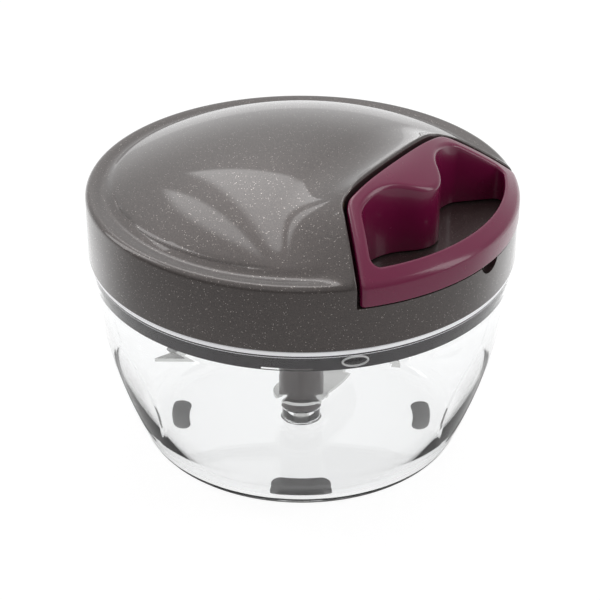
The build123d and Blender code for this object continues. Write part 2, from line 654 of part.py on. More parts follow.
with BuildPart() as lid_cover:
    with BuildSketch(Plane.XZ):
        with BuildLine():
            drum_line(0)
        make_face()
    revolve()
    add(outer_dome)
    add(lid_cavity.part, mode=Mode.SUBTRACT)
    # dock for the handle
    with BuildSketch(Plane.XY.offset(DOCK_FLOOR_Z)):
        add(dock_plan)
        offset(amount=DOCK_GAP)
    extrude(amount=CREST_TOP_Z, mode=Mode.SUBTRACT)
    # thumb notch under the middle of the handle
    notch_radius = (THUMB_NOTCH_WIDTH**2 / 4 + THUMB_NOTCH_DEPTH**2) / (2 * THUMB_NOTCH_DEPTH)
    with BuildSketch(Plane.YZ.offset(LID_RADIUS - THUMB_NOTCH_LENGTH)):
        with Locations((0, DOCK_FLOOR_Z - THUMB_NOTCH_DEPTH + notch_radius)):
            Circle(notch_radius)
    extrude(amount=THUMB_NOTCH_LENGTH * 2, mode=Mode.SUBTRACT)
    # eyelet hole through the dock's inner wall
    with BuildSketch(Plane.YZ.offset(CORD_CORNER_X)):
        with Locations((0, CORD_Z)):
            Circle(EYELET_RADIUS + PRESS_GAP)
    extrude(amount=HANDLE_INNER_X - CORD_CORNER_X, mode=Mode.SUBTRACT)
    # pilot holes for the screws, and the bore that grips the axle
    with BuildSketch(Plane.XY.offset(PLATE_TOP_Z)):
        with PolarLocations(SCREW_CIRCLE, SCREW_COUNT, start_angle=SCREW_START_ANGLE):
            Circle(SCREW_RADIUS + PRESS_GAP)
    extrude(amount=SCREW_LENGTH - PLATE_THICKNESS + PRESS_GAP, mode=Mode.SUBTRACT)
    with BuildSketch(Plane.XY.offset(ARBOR_Z)):
        Circle(AXLE_RADIUS + PRESS_GAP)
    extrude(amount=AXLE_GRIP, mode=Mode.SUBTRACT)
    # bayonet lugs inside the wall
    with BuildSketch(Plane.XY.offset(LID_EDGE_Z + LUG_GAP)):
        for lug in range(LUG_COUNT):
            add(sector(RIM_RADIUS + LUG_GAP, LID_BORE + FUSE, lug_start(lug) - LUG_OPEN_ANGLE, LUG_ANGLE))
    extrude(amount=LUG_HEIGHT)
finish(lid_cover, "lid_cover")

with BuildPart() as lid_base:
    with BuildSketch(Plane.XZ):
        ring_profile(HUB_RADIUS + RUNNING_GAP, LID_BORE - LUG_GAP, PLATE_Z, PLATE_TOP_Z)
        ring_profile(SKIRT_BORE, SKIRT_RADIUS, SKIRT_Z, PLATE_Z)
        ring_profile(HUB_RADIUS + RUNNING_GAP, HUB_RADIUS + HUB_BOSS_WALL, HUB_BOTTOM_Z, HUB_BOSS_TOP_Z)
    revolve()
    # groove for the seal
    with BuildSketch(Plane.XZ):
        ring_profile(SKIRT_RADIUS - SEAL_DEPTH, RIM_RADIUS, SEAL_Z - SEAL_GAP, SEAL_Z + SEAL_HEIGHT + SEAL_GAP)
    revolve(mode=Mode.SUBTRACT)
    with BuildSketch(Plane.XY.offset(PLATE_Z)):
        with PolarLocations(SCREW_CIRCLE, SCREW_COUNT, start_angle=SCREW_START_ANGLE):
            Circle(SCREW_RADIUS + PRESS_GAP)
    extrude(amount=PLATE_THICKNESS, mode=Mode.SUBTRACT)
finish(lid_base, "lid_base")

with BuildPart() as lid_seal:
    with BuildSketch(Plane.XZ) as seal_section:
        ring_profile(SKIRT_RADIUS - SEAL_DEPTH + SEAL_GAP, COLLAR_BORE - SEAL_GAP, SEAL_Z, SEAL_Z + SEAL_HEIGHT)
        fillet(seal_section.vertices(), SEAL_ROUND)
    revolve()
finish(lid_seal, "lid_seal")

with BuildPart() as lid_screws:
    with BuildSketch(Plane.XY.offset(PLATE_Z - SCREW_HEAD_HEIGHT)):
        with PolarLocations(SCREW_CIRCLE, SCREW_COUNT, start_angle=SCREW_START_ANGLE):
            Circle(SCREW_HEAD_RADIUS)
    extrude(amount=SCREW_HEAD_HEIGHT)
    with BuildSketch(Plane.XY.offset(PLATE_Z)):
        with PolarLocations(SCREW_CIRCLE, SCREW_COUNT, start_angle=SCREW_START_ANGLE):
            Circle(SCREW_RADIUS)
    extrude(amount=SCREW_LENGTH)
finish(lid_screws, "lid_screws")

with BuildPart() as cord_eyelet:
    with BuildSketch(Plane.YZ.offset(DOCK_BACK_X)):
        with Locations((0, CORD_Z)):
            Circle(EYELET_RADIUS)
    extrude(amount=DOCK_WALL)
    for lip_x in (DOCK_FACE_X, DOCK_BACK_X - EYELET_FLANGE):
        with BuildSketch(Plane.YZ.offset(lip_x)):
            with Locations((0, CORD_Z)):
                Circle(EYELET_RADIUS + EYELET_LIP)
        extrude(amount=EYELET_FLANGE)
    with BuildSketch(Plane.YZ.offset(CORD_CORNER_X)):
        with Locations((0, CORD_Z)):
            Circle(EYELET_BORE)
    extrude(amount=HANDLE_INNER_X - CORD_CORNER_X, mode=Mode.SUBTRACT)
finish(cord_eyelet, "cord_eyelet")

# ==== handle
handle_skin = dome_solid(HANDLE_SINK, HANDLE_RADIUS + SKIN_LEVEL_MARGIN)
with BuildPart() as pull_handle:
    with BuildSketch(Plane.XY.offset(HANDLE_BOTTOM_Z)):
        add(handle_plan)
        add(hole_plan, mode=Mode.SUBTRACT)
    extrude(amount=CREST_TOP_Z)
    add(handle_skin, mode=Mode.INTERSECT)
    handle_top = pull_handle.faces().sort_by(Axis.Z)[-1]
    fillet(handle_top.edges(), HANDLE_EDGE_ROUND)
    # slot from below for the ferrule and the cord
    with BuildSketch(Plane.XY.offset(HANDLE_BOTTOM_Z)):
        with Locations((FERRULE_X + FERRULE_LENGTH / 2, 0)):
            Rectangle(FERRULE_LENGTH + 2 * FERRULE_GAP, 2 * (FERRULE_RADIUS + FERRULE_GAP))
    extrude(amount=CORD_Z + FERRULE_RADIUS + FERRULE_GAP - HANDLE_BOTTOM_Z, mode=Mode.SUBTRACT)
    with BuildSketch(Plane.XY.offset(HANDLE_BOTTOM_Z)):
        with Locations((HANDLE_INNER_X + FERRULE_INSET / 2, 0)):
            Rectangle(FERRULE_INSET + 2 * FUSE, 2 * EYELET_BORE)
    extrude(amount=CORD_Z + EYELET_BORE - HANDLE_BOTTOM_Z, mode=Mode.SUBTRACT)
finish(pull_handle, "pull_handle")

with BuildPart() as cord_ferrule:
    with BuildSketch(Plane.YZ.offset(FERRULE_X)):
        with Locations((0, CORD_Z)):
            Circle(FERRULE_RADIUS)
            Circle(CORD_RADIUS + RUNNING_GAP, mode=Mode.SUBTRACT)
    extrude(amount=FERRULE_LENGTH)
finish(cord_ferrule, "cord_ferrule")

# ==== spool, its cord and the recoil spring
tangent_angle = degrees(acos(CORD_LINE_RADIUS / CORD_CORNER_X))
leave_point = around(-tangent_angle, CORD_LINE_RADIUS)
leave_direction = around(90 - tangent_angle, 1)


def along_cord(distance):
    """Point on the cord's straight run at a distance from where it leaves the winding."""
    x = leave_point[0] + leave_direction[0] * distance
    y = leave_point[1] + leave_direction[1] * distance
    return (x, y, CORD_Z)


with BuildPart() as cord_winding:
    with BuildSketch(Plane.XZ):
        for turn in range(CORD_TURNS):
            with Locations((CORD_LINE_RADIUS, CORD_Z + (turn - (CORD_TURNS - 1) / 2) * CORD_PITCH)):
                Circle(CORD_RADIUS)
    revolve(axis=Axis.Z)
    with BuildSketch(Plane(along_cord(0), z_dir=(*leave_direction, 0))):
        Circle(CORD_RADIUS)
    extrude(amount=CORD_TAIL)
finish(cord_winding, "cord_winding")

with BuildPart() as pull_cord:
    with BuildLine() as cord_route:
        FilletPolyline(
            along_cord(CORD_TAIL + CORD_SPLIT),
            (CORD_CORNER_X, 0, CORD_Z),
            (FERRULE_X + FERRULE_LENGTH, 0, CORD_Z),
            radius=CORD_BEND,
        )
    with BuildSketch(Plane(along_cord(CORD_TAIL + CORD_SPLIT), z_dir=(*leave_direction, 0))):
        Circle(CORD_RADIUS)
    sweep()
finish(pull_cord, "pull_cord")

with BuildPart() as spool:
    spool_bore = AXLE_RADIUS + RUNNING_GAP
    with BuildSketch(Plane.XZ):
        ring_profile(spool_bore, SPOOL_FLANGE_RADIUS, SPOOL_Z, DRUM_Z)
        ring_profile(spool_bore, DRUM_RADIUS, DRUM_Z, DRUM_TOP_Z)
        ring_profile(spool_bore, SPOOL_FLANGE_RADIUS, DRUM_TOP_Z, CUP_FLOOR_Z)
        ring_profile(SPRING_CUP_RADIUS - SPRING_CUP_WALL, SPRING_CUP_RADIUS, CUP_FLOOR_Z, CUP_TOP_Z)
    revolve()
    with BuildSketch(Plane.XY.offset(SPOOL_Z)):
        with PolarLocations(PAWL_PIVOT_RADIUS, PAWL_COUNT):
            Circle(PAWL_PIN_RADIUS + PRESS_GAP)
    extrude(amount=PAWL_PIN_ROOT, mode=Mode.SUBTRACT)
finish(spool, "spool")

with BuildPart() as spring_cover:
    with BuildSketch(Plane.XY.offset(CUP_TOP_Z)):
        Circle(SPRING_CUP_RADIUS)
        Circle(ARBOR_RADIUS + SPRING_CLEAR, mode=Mode.SUBTRACT)
    extrude(amount=SPRING_COVER)
finish(spring_cover, "spring_cover")

spring_inner = ARBOR_RADIUS + SPRING_CLEAR / 2
spring_outer = SPRING_CUP_RADIUS - SPRING_CUP_WALL - SPRING_CLEAR - SPRING_THICKNESS
spring_steps = int(SPRING_TURNS * SPRING_POINTS_PER_TURN)


def spiral(extra):
    """Points of the recoil spring's spiral, moved out by an extra radius."""
    shares = [step / spring_steps for step in range(spring_steps + 1)]
    radii = [spring_inner + (spring_outer - spring_inner) * share + extra for share in shares]
    return [around(360 * SPRING_TURNS * share, radius) for share, radius in zip(shares, radii)]


with BuildPart() as recoil_spring:
    with BuildSketch(Plane.XY.offset(ARBOR_Z)):
        with BuildLine():
            inner_side = Spline(*spiral(0))
            outer_side = Spline(*spiral(SPRING_THICKNESS))
            Line(inner_side @ 0, outer_side @ 0)
            Line(inner_side @ 1, outer_side @ 1)
        make_face()
    extrude(amount=SPRING_HEIGHT)
finish(recoil_spring, "recoil_spring")

with BuildPart() as spool_axle:
    with BuildSketch(Plane.XY.offset(AXLE_BOTTOM_Z)):
        Circle(AXLE_RADIUS)
    extrude(amount=ARBOR_Z + AXLE_GRIP - AXLE_BOTTOM_Z)
    with BuildSketch(Plane.XY.offset(AXLE_BOTTOM_Z)):
        Circle(AXLE_SCREW_RADIUS + PRESS_GAP)
    extrude(amount=AXLE_SCREW_LENGTH, mode=Mode.SUBTRACT)
finish(spool_axle, "spool_axle")

with BuildPart() as axle_washer:
    with BuildSketch(Plane.XY.offset(WASHER_Z)):
        Circle(WASHER_RADIUS)
        Circle(AXLE_SCREW_RADIUS + PRESS_GAP, mode=Mode.SUBTRACT)
    extrude(amount=WASHER_THICKNESS)
finish(axle_washer, "axle_washer")

with BuildPart() as axle_screw:
    with BuildSketch(Plane.XY.offset(WASHER_Z - AXLE_SCREW_HEAD)):
        Circle(AXLE_RADIUS)
    extrude(amount=AXLE_SCREW_HEAD)
    with BuildSketch(Plane.XY.offset(WASHER_Z)):
        Circle(AXLE_SCREW_RADIUS)
    extrude(amount=WASHER_THICKNESS + AXLE_SCREW_LENGTH - AXLE_SCREW_END_GAP)
finish(axle_screw, "axle_screw")

# ==== drive hub and pawls
with BuildPart() as drive_hub:
    with BuildSketch(Plane.XZ):
        ring_profile(0, HUB_RADIUS, HUB_BOTTOM_Z, RATCHET_TOP_Z)
        ring_profile(0, HUB_RADIUS + HUB_FLANGE_WIDTH, HUB_FLANGE_Z, RATCHET_Z)
    revolve()
    # sawtooth ratchet: each tooth is steep on the side that the pawl pushes
    tooth_root = HUB_RADIUS - TOOTH_SINK
    with BuildSketch(Plane.XY.offset(RATCHET_Z)):
        for tooth in range(RATCHET_TEETH):
            steep = PAWL_TIP_ANGLE + PAWL_TIP_GAP_ANGLE + tooth * 360 / RATCHET_TEETH
            with BuildLine():
                Polyline(
                    around(steep, tooth_root),
                    around(steep, HUB_RADIUS + TOOTH_DEPTH),
                    around(steep + 180 / RATCHET_TEETH, tooth_root),
                    close=True,
                )
            make_face()
    extrude(amount=RATCHET_HEIGHT)
    with BuildSketch(Plane.XY.offset(RATCHET_Z)):
        Circle(HUB_RECESS_RADIUS)
    extrude(amount=RATCHET_HEIGHT, mode=Mode.SUBTRACT)
    # socket for the blade stem, with ribs that fit between the stem's
    rib_tip = STEM_NECK_RADIUS + SPLINE_GAP
    rib_foot = SOCKET_RADIUS + FUSE
    with BuildSketch(Plane.XY.offset(HUB_BOTTOM_Z)):
        Circle(SOCKET_RADIUS)
        with PolarLocations((rib_tip + rib_foot) / 2, SPLINE_COUNT, start_angle=180 / SPLINE_COUNT):
            Rectangle(rib_foot - rib_tip, SPLINE_WIDTH, mode=Mode.SUBTRACT)
    extrude(amount=SOCKET_DEPTH, mode=Mode.SUBTRACT)
finish(drive_hub, "drive_hub")


def pawl(turn):
    """One pawl: an eye on its pin and an arm whose tip rests behind a ratchet tooth."""
    tip_radius = HUB_RADIUS + PAWL_TIP_RISE
    eye_low = around(PAWL_ARM_LOW_ANGLE, PAWL_EYE_RADIUS)
    eye_high = around(PAWL_ARM_HIGH_ANGLE, PAWL_EYE_RADIUS)
    with BuildPart() as arm:
        with BuildSketch(Plane.XY.offset(PAWL_Z).rotated((0, 0, turn))):
            with BuildLine():
                Polyline(
                    around(PAWL_TIP_ANGLE, tip_radius),
                    (PAWL_PIVOT_RADIUS + eye_low[0], eye_low[1]),
                    (PAWL_PIVOT_RADIUS + eye_high[0], eye_high[1]),
                    around(PAWL_TIP_ANGLE, tip_radius + PAWL_TIP_WIDTH),
                    close=True,
                )
            make_face()
            with Locations((PAWL_PIVOT_RADIUS, 0)):
                Circle(PAWL_EYE_RADIUS)
                Circle(PAWL_PIN_RADIUS + RUNNING_GAP, mode=Mode.SUBTRACT)
        extrude(amount=PAWL_HEIGHT)
    return arm


for number in range(PAWL_COUNT):
    finish(pawl(number * 360 / PAWL_COUNT), f"pawl_{number + 1}")

with BuildPart() as pawl_pins:
    with BuildSketch(Plane.XY.offset(PAWL_Z)):
        with PolarLocations(PAWL_PIVOT_RADIUS, PAWL_COUNT):
            Circle(PAWL_PIN_RADIUS)
    extrude(amount=PAWL_HEIGHT + SEAT_GAP + PAWL_PIN_ROOT)
finish(pawl_pins, "pawl_pins")
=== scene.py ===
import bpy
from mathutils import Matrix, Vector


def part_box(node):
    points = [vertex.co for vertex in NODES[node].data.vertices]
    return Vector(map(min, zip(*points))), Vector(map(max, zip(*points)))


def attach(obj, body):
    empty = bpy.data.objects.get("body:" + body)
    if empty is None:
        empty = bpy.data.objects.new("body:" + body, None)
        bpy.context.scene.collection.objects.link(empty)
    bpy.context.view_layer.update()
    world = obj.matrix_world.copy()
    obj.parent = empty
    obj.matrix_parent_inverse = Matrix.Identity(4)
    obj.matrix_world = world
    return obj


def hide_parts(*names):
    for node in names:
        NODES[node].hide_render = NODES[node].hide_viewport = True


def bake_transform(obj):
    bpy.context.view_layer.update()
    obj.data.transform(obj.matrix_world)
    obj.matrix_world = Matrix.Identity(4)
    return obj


bl_info = {
    "name": "Pull-cord food chopper",
    "version": (1, 0, 0),
    "blender": (4, 5, 0),
    "location": "View3D > Sidebar > Chopper",
    "description": "Dresses the chopper's frame with its finished pieces, materials and a small studio",
    "category": "Object",
}

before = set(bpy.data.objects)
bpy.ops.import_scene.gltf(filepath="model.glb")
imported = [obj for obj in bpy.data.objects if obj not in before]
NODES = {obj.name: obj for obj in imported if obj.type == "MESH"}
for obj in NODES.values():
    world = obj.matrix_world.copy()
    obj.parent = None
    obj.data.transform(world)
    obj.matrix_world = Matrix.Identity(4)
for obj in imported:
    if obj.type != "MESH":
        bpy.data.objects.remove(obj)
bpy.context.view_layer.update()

from itertools import product
from math import acos, atan2, ceil, cos, exp, hypot, log, pi, radians, sin, sqrt, tan

import bmesh
import bpy
import numpy
from bpy.props import FloatProperty, FloatVectorProperty, IntProperty, PointerProperty
from mathutils import Matrix, Vector
from mathutils.geometry import delaunay_2d_cdt

MM = 0.001


def low(node, axis):
    """Lowest coordinate of a frame node along an axis, in millimetres."""
    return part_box(node)[0][axis] / MM


def high(node, axis):
    """Highest coordinate of a frame node along an axis, in millimetres."""
    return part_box(node)[1][axis] / MM


# ==== sizes in millimetres
# ---- the lid's skin
WALL_HEIGHT = 20.6
LID_WALL = 2.2
EDGE_FOOT_ROUND = 0.5
VALLEY_INSET = 5.5
VALLEY_DROP = 0.3
VALLEY_DEPTH = 0.6
VALLEY_SPREAD = 1.9
GROOVE_INSET = 2.9
GROOVE_START = (radians(62), radians(76))
GROOVE_END = (radians(124), radians(138))
BAND_DROP = 0.08
BAND_BLEND = 0.3
DOME_CLEARANCE = 3.8
CREST_RISE = 1.6
CREST_APEX_RISE = 9.4
CREST_DROP = 0.35
CREST_BLEND = 1.0
LIP_WIDTH = 2.0
LIP_FLARE = 18.0
LIP_CORNER = 3.0
UNDERSIDE_TURN = 3.5
UNDERSIDE_SLOPE = 2
UNDERSIDE_BLEND = 0.4

# ---- the handle and its dock
HANDLE_SINK = 0.3
FLANK_ANGLE = radians(46)
ALONG_FLANK = (cos(FLANK_ANGLE), sin(FLANK_ANGLE))
HANDLE_CORNER_Y = 26.5
HANDLE_CORNER_ROUND = 7.0
HANDLE_TIP_ROUND = 1.6
HOLE_RIM = 4.8
HOLE_FLANK = 4.0
HOLE_BAR = 4.1
HOLE_CORNER_ROUND = 2.5
DOCK_FLOOR_GAP = 0.4
DOCK_FLOOR = 3.6
DOCK_WALL = 2.0
NOTCH_WIDTH = 9.0
NOTCH_DEPTH = 3.0
NOTCH_LENGTH = 4.0
NOTCH_FADE = 0.3
FERRULE_INSET = 5.0
EYELET_RADIUS = 2.22
EYELET_FLANGE = 0.7

# ---- the base plate and its screws
PLATE_RISE = 7.0
PLATE_THICKNESS = 2.0
SCREW_CIRCLE_INSET = 16.0
SCREW_START = radians(30)

# ---- the bowl
FRONT_ANGLE = radians(-56)
FLANGE_GAP = 0.7
FLANGE_STEP = 0.4
FLANGE_HEIGHT = 1.9
FLANGE_ROUND = 0.25
# height of the band atop the flange that gets the painted glow
GLOW_BAND_HEIGHT = 1.15
NECK_HEIGHT = 7.4
BELLY_INSET = 4.4
SHOULDER_INSET = 13.4
SHOULDER_RISE = 4.9
BASE_INSET = 6.3
BASE_THICKNESS = 2.4
RING_LEDGE = 0.5
RING_JOINT_ANGLES = (radians(-13.1), radians(2.9), radians(27.3))
RING_JOINT_WIDTH = (0.12, 0.3)
GRIP_DROP = 36.0
DIMPLE_DROP = 21.9
HOLLOW_EDGE = 0.9
OVAL_ANGLE = radians(13.6)
OVAL_DROP = 4.2
OVAL_HALF = (3.7, 1.5)
OVAL_BEAD = (0.3, 0.4)
PAD_INSET = 5.0
PAD_HALF_WIDTH = 3.0
PAD_HALF_SPAN = radians(9)

# ---- places that the frame gives, and what follows from them
LID_RADIUS = -low("lid_cover", 0)
LID_EDGE_Z = low("lid_cover", 2)
WALL_TOP_Z = LID_EDGE_Z + WALL_HEIGHT
DOME_TOP_Z = high("spring_cover", 2) + DOME_CLEARANCE + LID_WALL
CREST_TOP_Z = DOME_TOP_Z + CREST_RISE
VALLEY_RADIUS = LID_RADIUS - VALLEY_INSET
GROOVE_RADIUS = VALLEY_RADIUS - GROOVE_INSET
PLATE_TOP_Z = LID_EDGE_Z + PLATE_RISE
PLATE_Z = PLATE_TOP_Z - PLATE_THICKNESS
SCREW_CIRCLE = LID_RADIUS - SCREW_CIRCLE_INSET
HANDLE_RADIUS = high("pull_handle", 0)
HANDLE_INNER_X = low("pull_handle", 0)
HANDLE_BOTTOM_Z = low("pull_handle", 2)
DOCK_FLOOR_Z = HANDLE_BOTTOM_Z - DOCK_FLOOR_GAP
DOCK_BACK_X = low("cord_eyelet", 0) + EYELET_FLANGE
CORD_Z = (low("cord_eyelet", 2) + high("cord_eyelet", 2)) / 2
CORD_RADIUS = (high("pull_cord", 2) - low("pull_cord", 2)) / 2
SPOOL_CORD_RADIUS = high("cord_winding", 0) - CORD_RADIUS
BASE_Z = low("bowl", 2)
FLOOR_Z = BASE_Z + BASE_THICKNESS
SHOULDER_Z = BASE_Z + SHOULDER_RISE
NECK_Z = LID_EDGE_Z - NECK_HEIGHT
FLANGE_TOP_Z = high("bowl", 2)
FLANGE_BOTTOM_Z = FLANGE_TOP_Z - FLANGE_HEIGHT
# bottom of the band atop the flange with the painted glow
GLOW_BAND_Z = FLANGE_TOP_Z - GLOW_BAND_HEIGHT
FLANGE_RADIUS = LID_RADIUS - FLANGE_GAP
NECK_RADIUS = FLANGE_RADIUS - FLANGE_STEP
BELLY_RADIUS = NECK_RADIUS - BELLY_INSET
SHOULDER_RADIUS = NECK_RADIUS - SHOULDER_INSET
BASE_RADIUS = SHOULDER_RADIUS - BASE_INSET


# ==== settings
def length_setting(name, description, default):
    """A length that a user can set, its default in millimetres."""
    return FloatProperty(name=name, description=description, default=default * MM, unit="LENGTH")


def angle_setting(name, description, default):
    """An angle that a user can set, its default in degrees."""
    return FloatProperty(name=name, description=description, default=radians(default), subtype="ANGLE")


def colour_setting(description, default, name="Colour"):
    """A colour that a user can set."""
    return FloatVectorProperty(name=name, description=description, subtype="COLOR", size=3, default=default)


class LidSettings(bpy.types.PropertyGroup):
    """Sizes and colour of the lid's cover."""

    edge_round: length_setting("Edge round", "Rounding between the wall and the rim band", 2.0)
    lip_round: length_setting("Lip round", "Rounding along the dock's edge", 0.7)
    groove_depth: length_setting("Groove depth", "Depth of the line between dome and rim band", 0.45)
    groove_width: length_setting("Groove width", "Half width of that line", 0.55)
    dock_gap: length_setting("Dock gap", "Gap round the handle", 1.1)
    grain: length_setting("Mesh grain", "Distance between the skin's points", 1.0)
    colour: colour_setting("Metallic paint of the lid", (0.066, 0.052, 0.048))


class HandleSettings(bpy.types.PropertyGroup):
    """Sizes and colour of the pull handle."""

    edge_round: length_setting("Edge round", "Rounding of the top edges", 1.2)
    foot_round: length_setting("Foot round", "Rounding of the lower edges", 0.4)
    colour: colour_setting("Gloss plastic of the handle", (0.19, 0.007, 0.056))


class BowlSettings(bpy.types.PropertyGroup):
    """Sizes and colour of the bowl."""

    wall: length_setting("Wall", "Thickness of the wall", 2.2)
    grip_depth: length_setting("Grip depth", "Depth of the leaf-shaped hollows", 0.2)
    grip_width: length_setting("Grip width", "Width of a leaf-shaped hollow", 24)
    grip_height: length_setting("Grip height", "Height of a leaf-shaped hollow", 39)
    grip_angle: angle_setting("Grip angle", "Each side of the front and back", 58)
    dimple_radius: length_setting("Dimple radius", "Radius of the round hollow in front", 8.2)
    columns: IntProperty(name="Columns", description="Points round the bowl", default=480)
    colour: colour_setting("Tint of the clear plastic", (0.985, 0.99, 0.992))


class DriveSettings(bpy.types.PropertyGroup):
    """Sizes and colours of the drive, its fasteners and the cord."""

    screw_count: IntProperty(name="Screws", description="Screws of the base plate", default=6)
    recess_depth: length_setting("Recess depth", "Depth of a screw's cross recess", 0.9)
    cord_colour: colour_setting("Braided cord", (0.62, 0.6, 0.56), "Cord colour")
    rubber_colour: colour_setting("Pads under the bowl", (0.085, 0.08, 0.082), "Rubber colour")


class StudioSettings(bpy.types.PropertyGroup):
    """The camera, the lamps and the floor."""

    distance: length_setting("Distance", "From camera to object", 600)
    azimuth: angle_setting("Azimuth", "Round the object", 34)
    elevation: angle_setting("Elevation", "Above the horizon", 30)
    roll: angle_setting("Roll", "Of the camera", 0.21)
    focal_length: FloatProperty(name="Focal length", description="On a 36 mm sensor", default=115.74)
    key_power: FloatProperty(name="Overhead lamp", description="Power in watts", default=2.4)
    side_power: FloatProperty(name="Side lamps", description="Power in watts", default=1.7)


GROUPS = {
    "chopper_lid": LidSettings,
    "chopper_handle": HandleSettings,
    "chopper_bowl": BowlSettings,
    "chopper_drive": DriveSettings,
    "chopper_studio": StudioSettings,
}


# ==== node trees
class Value:
    """A node's output that arithmetic can be written on: every operation adds its Math node."""

    def __init__(self, graph, output):
        self.graph = graph
        self.output = output

    def math(self, operation, *others):
        """A Math node on this value and others."""
        return self.graph.node("ShaderNodeMath", {"operation": operation}, (self, *others))

    def reflected(self, operation, first):
        """A Math node with this value in second place."""
        return self.graph.node("ShaderNodeMath", {"operation": operation}, (first, self))

    def __add__(self, other):
        return self.math("ADD", other)

    def __radd__(self, other):
        return self.reflected("ADD", other)

    def __sub__(self, other):
        return self.math("SUBTRACT", other)

    def __rsub__(self, other):
        return self.reflected("SUBTRACT", other)

    def __mul__(self, other):
        return self.math("MULTIPLY", other)

    def __rmul__(self, other):
        return self.reflected("MULTIPLY", other)

    def __truediv__(self, other):
        return self.math("DIVIDE", other)

    def __rtruediv__(self, other):
        return self.reflected("DIVIDE", other)

    def __abs__(self):
        return self.math("ABSOLUTE")

    def largest(self, other):
        return self.math("MAXIMUM", other)

    def above(self, other):
        return self.math("GREATER_THAN", other)

    def root(self):
        return self.math("SQRT")

    def sine(self):
        return self.math("SINE")

    def cosine(self):
        return self.math("COSINE")

    def rounded(self):
        return self.math("ROUND")

    def step(self, start, end):
        """0 before start, 1 after end, smooth between."""
        settings = {"interpolation_type": "SMOOTHSTEP"}
        return self.graph.node("ShaderNodeMapRange", settings, {"Value": self, 1: start, 2: end})


class Graph:
    """A node tree with one method that adds any node."""

    def __init__(self, tree):
        self.tree = tree

    def pick(self, sockets, key):
        """A socket by its number, identifier or name."""
        if isinstance(key, int):
            return sockets[key]
        matches = [socket for socket in sockets if key in (socket.identifier, socket.name) and socket.enabled]
        if not matches:
            raise RuntimeError(f"no socket {key} among {[socket.identifier for socket in sockets]}")
        return matches[0]

    def feed(self, socket, value):
        """Link a value to a socket or write a constant into it."""
        if isinstance(value, Value):
            self.tree.links.new(value.output, socket)
        else:
            socket.default_value = value

    def node(self, kind, settings=None, inputs=(), output=0):
        """Add a node: its settings first, then the values or links of its inputs. Returns one output."""
        node = self.tree.nodes.new(kind)
        for key, value in (settings or {}).items():
            setattr(node, key, value)
        pairs = inputs.items() if isinstance(inputs, dict) else enumerate(inputs)
        for key, value in pairs:
            self.feed(self.pick(node.inputs, key), value)
        if not node.outputs:
            return node
        if output == 0:
            output = next(number for number, socket in enumerate(node.outputs) if socket.enabled)
        return Value(self, self.pick(node.outputs, output))

    def axes(self, vector, names="XYZ"):
        """The parts of a vector."""
        return [self.node("ShaderNodeSeparateXYZ", {}, {"Vector": vector}, name) for name in names]


# ==== materials
def new_material(name):
    """An empty material, its graph and the place on its object, in metres."""
    material = bpy.data.materials.new(name)
    material.use_nodes = True
    material.node_tree.nodes.clear()
    graph = Graph(material.node_tree)
    return material, graph, graph.node("ShaderNodeTexCoord", {}, (), "Object")


def finished(material, graph, inputs):
    """Close a material with its shader; constants go straight onto the shader's own sockets."""
    shader = graph.node("ShaderNodeBsdfPrincipled", {}, inputs)
    graph.node("ShaderNodeOutputMaterial", {}, {"Surface": shader})
    return material


def noise(graph, place, scale, detail=2.0):
    """Noise with so many features to the metre."""
    inputs = {"Vector": place, "Scale": scale, "Detail": detail, "Roughness": 0.5}
    return graph.node("ShaderNodeTexNoise", {}, inputs, "Fac")


def mixed(graph, share, first, second):
    """Colour between two colours."""
    inputs = {"Factor_Float": share, "A_Color": first, "B_Color": second}
    return graph.node("ShaderNodeMix", {"data_type": "RGBA"}, inputs, "Result_Color")


def bump(graph, height, strength, distance):
    """Normal of a relief with a height in metres."""
    inputs = {"Strength": strength, "Distance": distance, "Height": height}
    return graph.node("ShaderNodeBump", {}, inputs, "Normal")


def rgba(colour, factor=1.0):
    """A colour for a socket, made lighter or darker by a factor."""
    return (*(min(part * factor, 1.0) for part in colour), 1.0)


def flake_paint(colour, flakes=5200.0, bright_flake=(0.42, 0.38, 0.355, 1.0)):
    """Metallic paint with fine flakes under a clear coat; a few flakes catch the light."""
    material, graph, place = new_material("lid paint")
    inputs = {"Vector": place, "Scale": flakes}
    flake = graph.node("ShaderNodeTexVoronoi", {"feature": "F1"}, inputs, "Color")
    red = graph.node("ShaderNodeSeparateColor", {}, {"Color": flake}, "Red")
    green = graph.node("ShaderNodeSeparateColor", {}, {"Color": flake}, "Green")
    glint = red.step(0.98, 0.995)
    cloud = noise(graph, place, 28.0)
    haze = noise(graph, place, 90.0)
    polish = noise(graph, place, 40.0)
    base = mixed(graph, cloud * 0.25 + red * 0.75, rgba(colour, 0.6), rgba(colour, 1.42))
    inputs = {
        "Base Color": mixed(graph, glint, base, bright_flake),
        "Metallic": 0.36 + glint * 0.5,
        "Roughness": 0.34 + haze * 0.06 - glint * 0.1,
        "Coat Weight": 0.85 + polish * 0.1,
        "Coat Roughness": 0.04,
        "Normal": bump(graph, green + red, 0.05, 0.06 * MM),
    }
    return finished(material, graph, inputs)


def moulded_plastic(name, colour, roughness, coat=0.0, texture=0.03, grain=900.0, spread=0.12):
    """Moulded plastic: slight clouds in its colour, a fine grain, and faint handling marks in its gloss."""
    material, graph, place = new_material(name)
    cloud = noise(graph, place, 35.0, 3.0)
    rub = noise(graph, place, 140.0, 4.0)
    inputs = {
        "Base Color": mixed(graph, cloud, rgba(colour, 1 - spread), rgba(colour, 1 + spread)),
        "Roughness": roughness + (rub - 0.5) * 0.08,
        "Coat Roughness": 0.05,
        "Normal": bump(graph, noise(graph, place, grain, 3.0), texture, 0.2 * MM),
    }
    if coat:
        inputs["Coat Weight"] = coat - rub * 0.1
    return finished(material, graph, inputs)


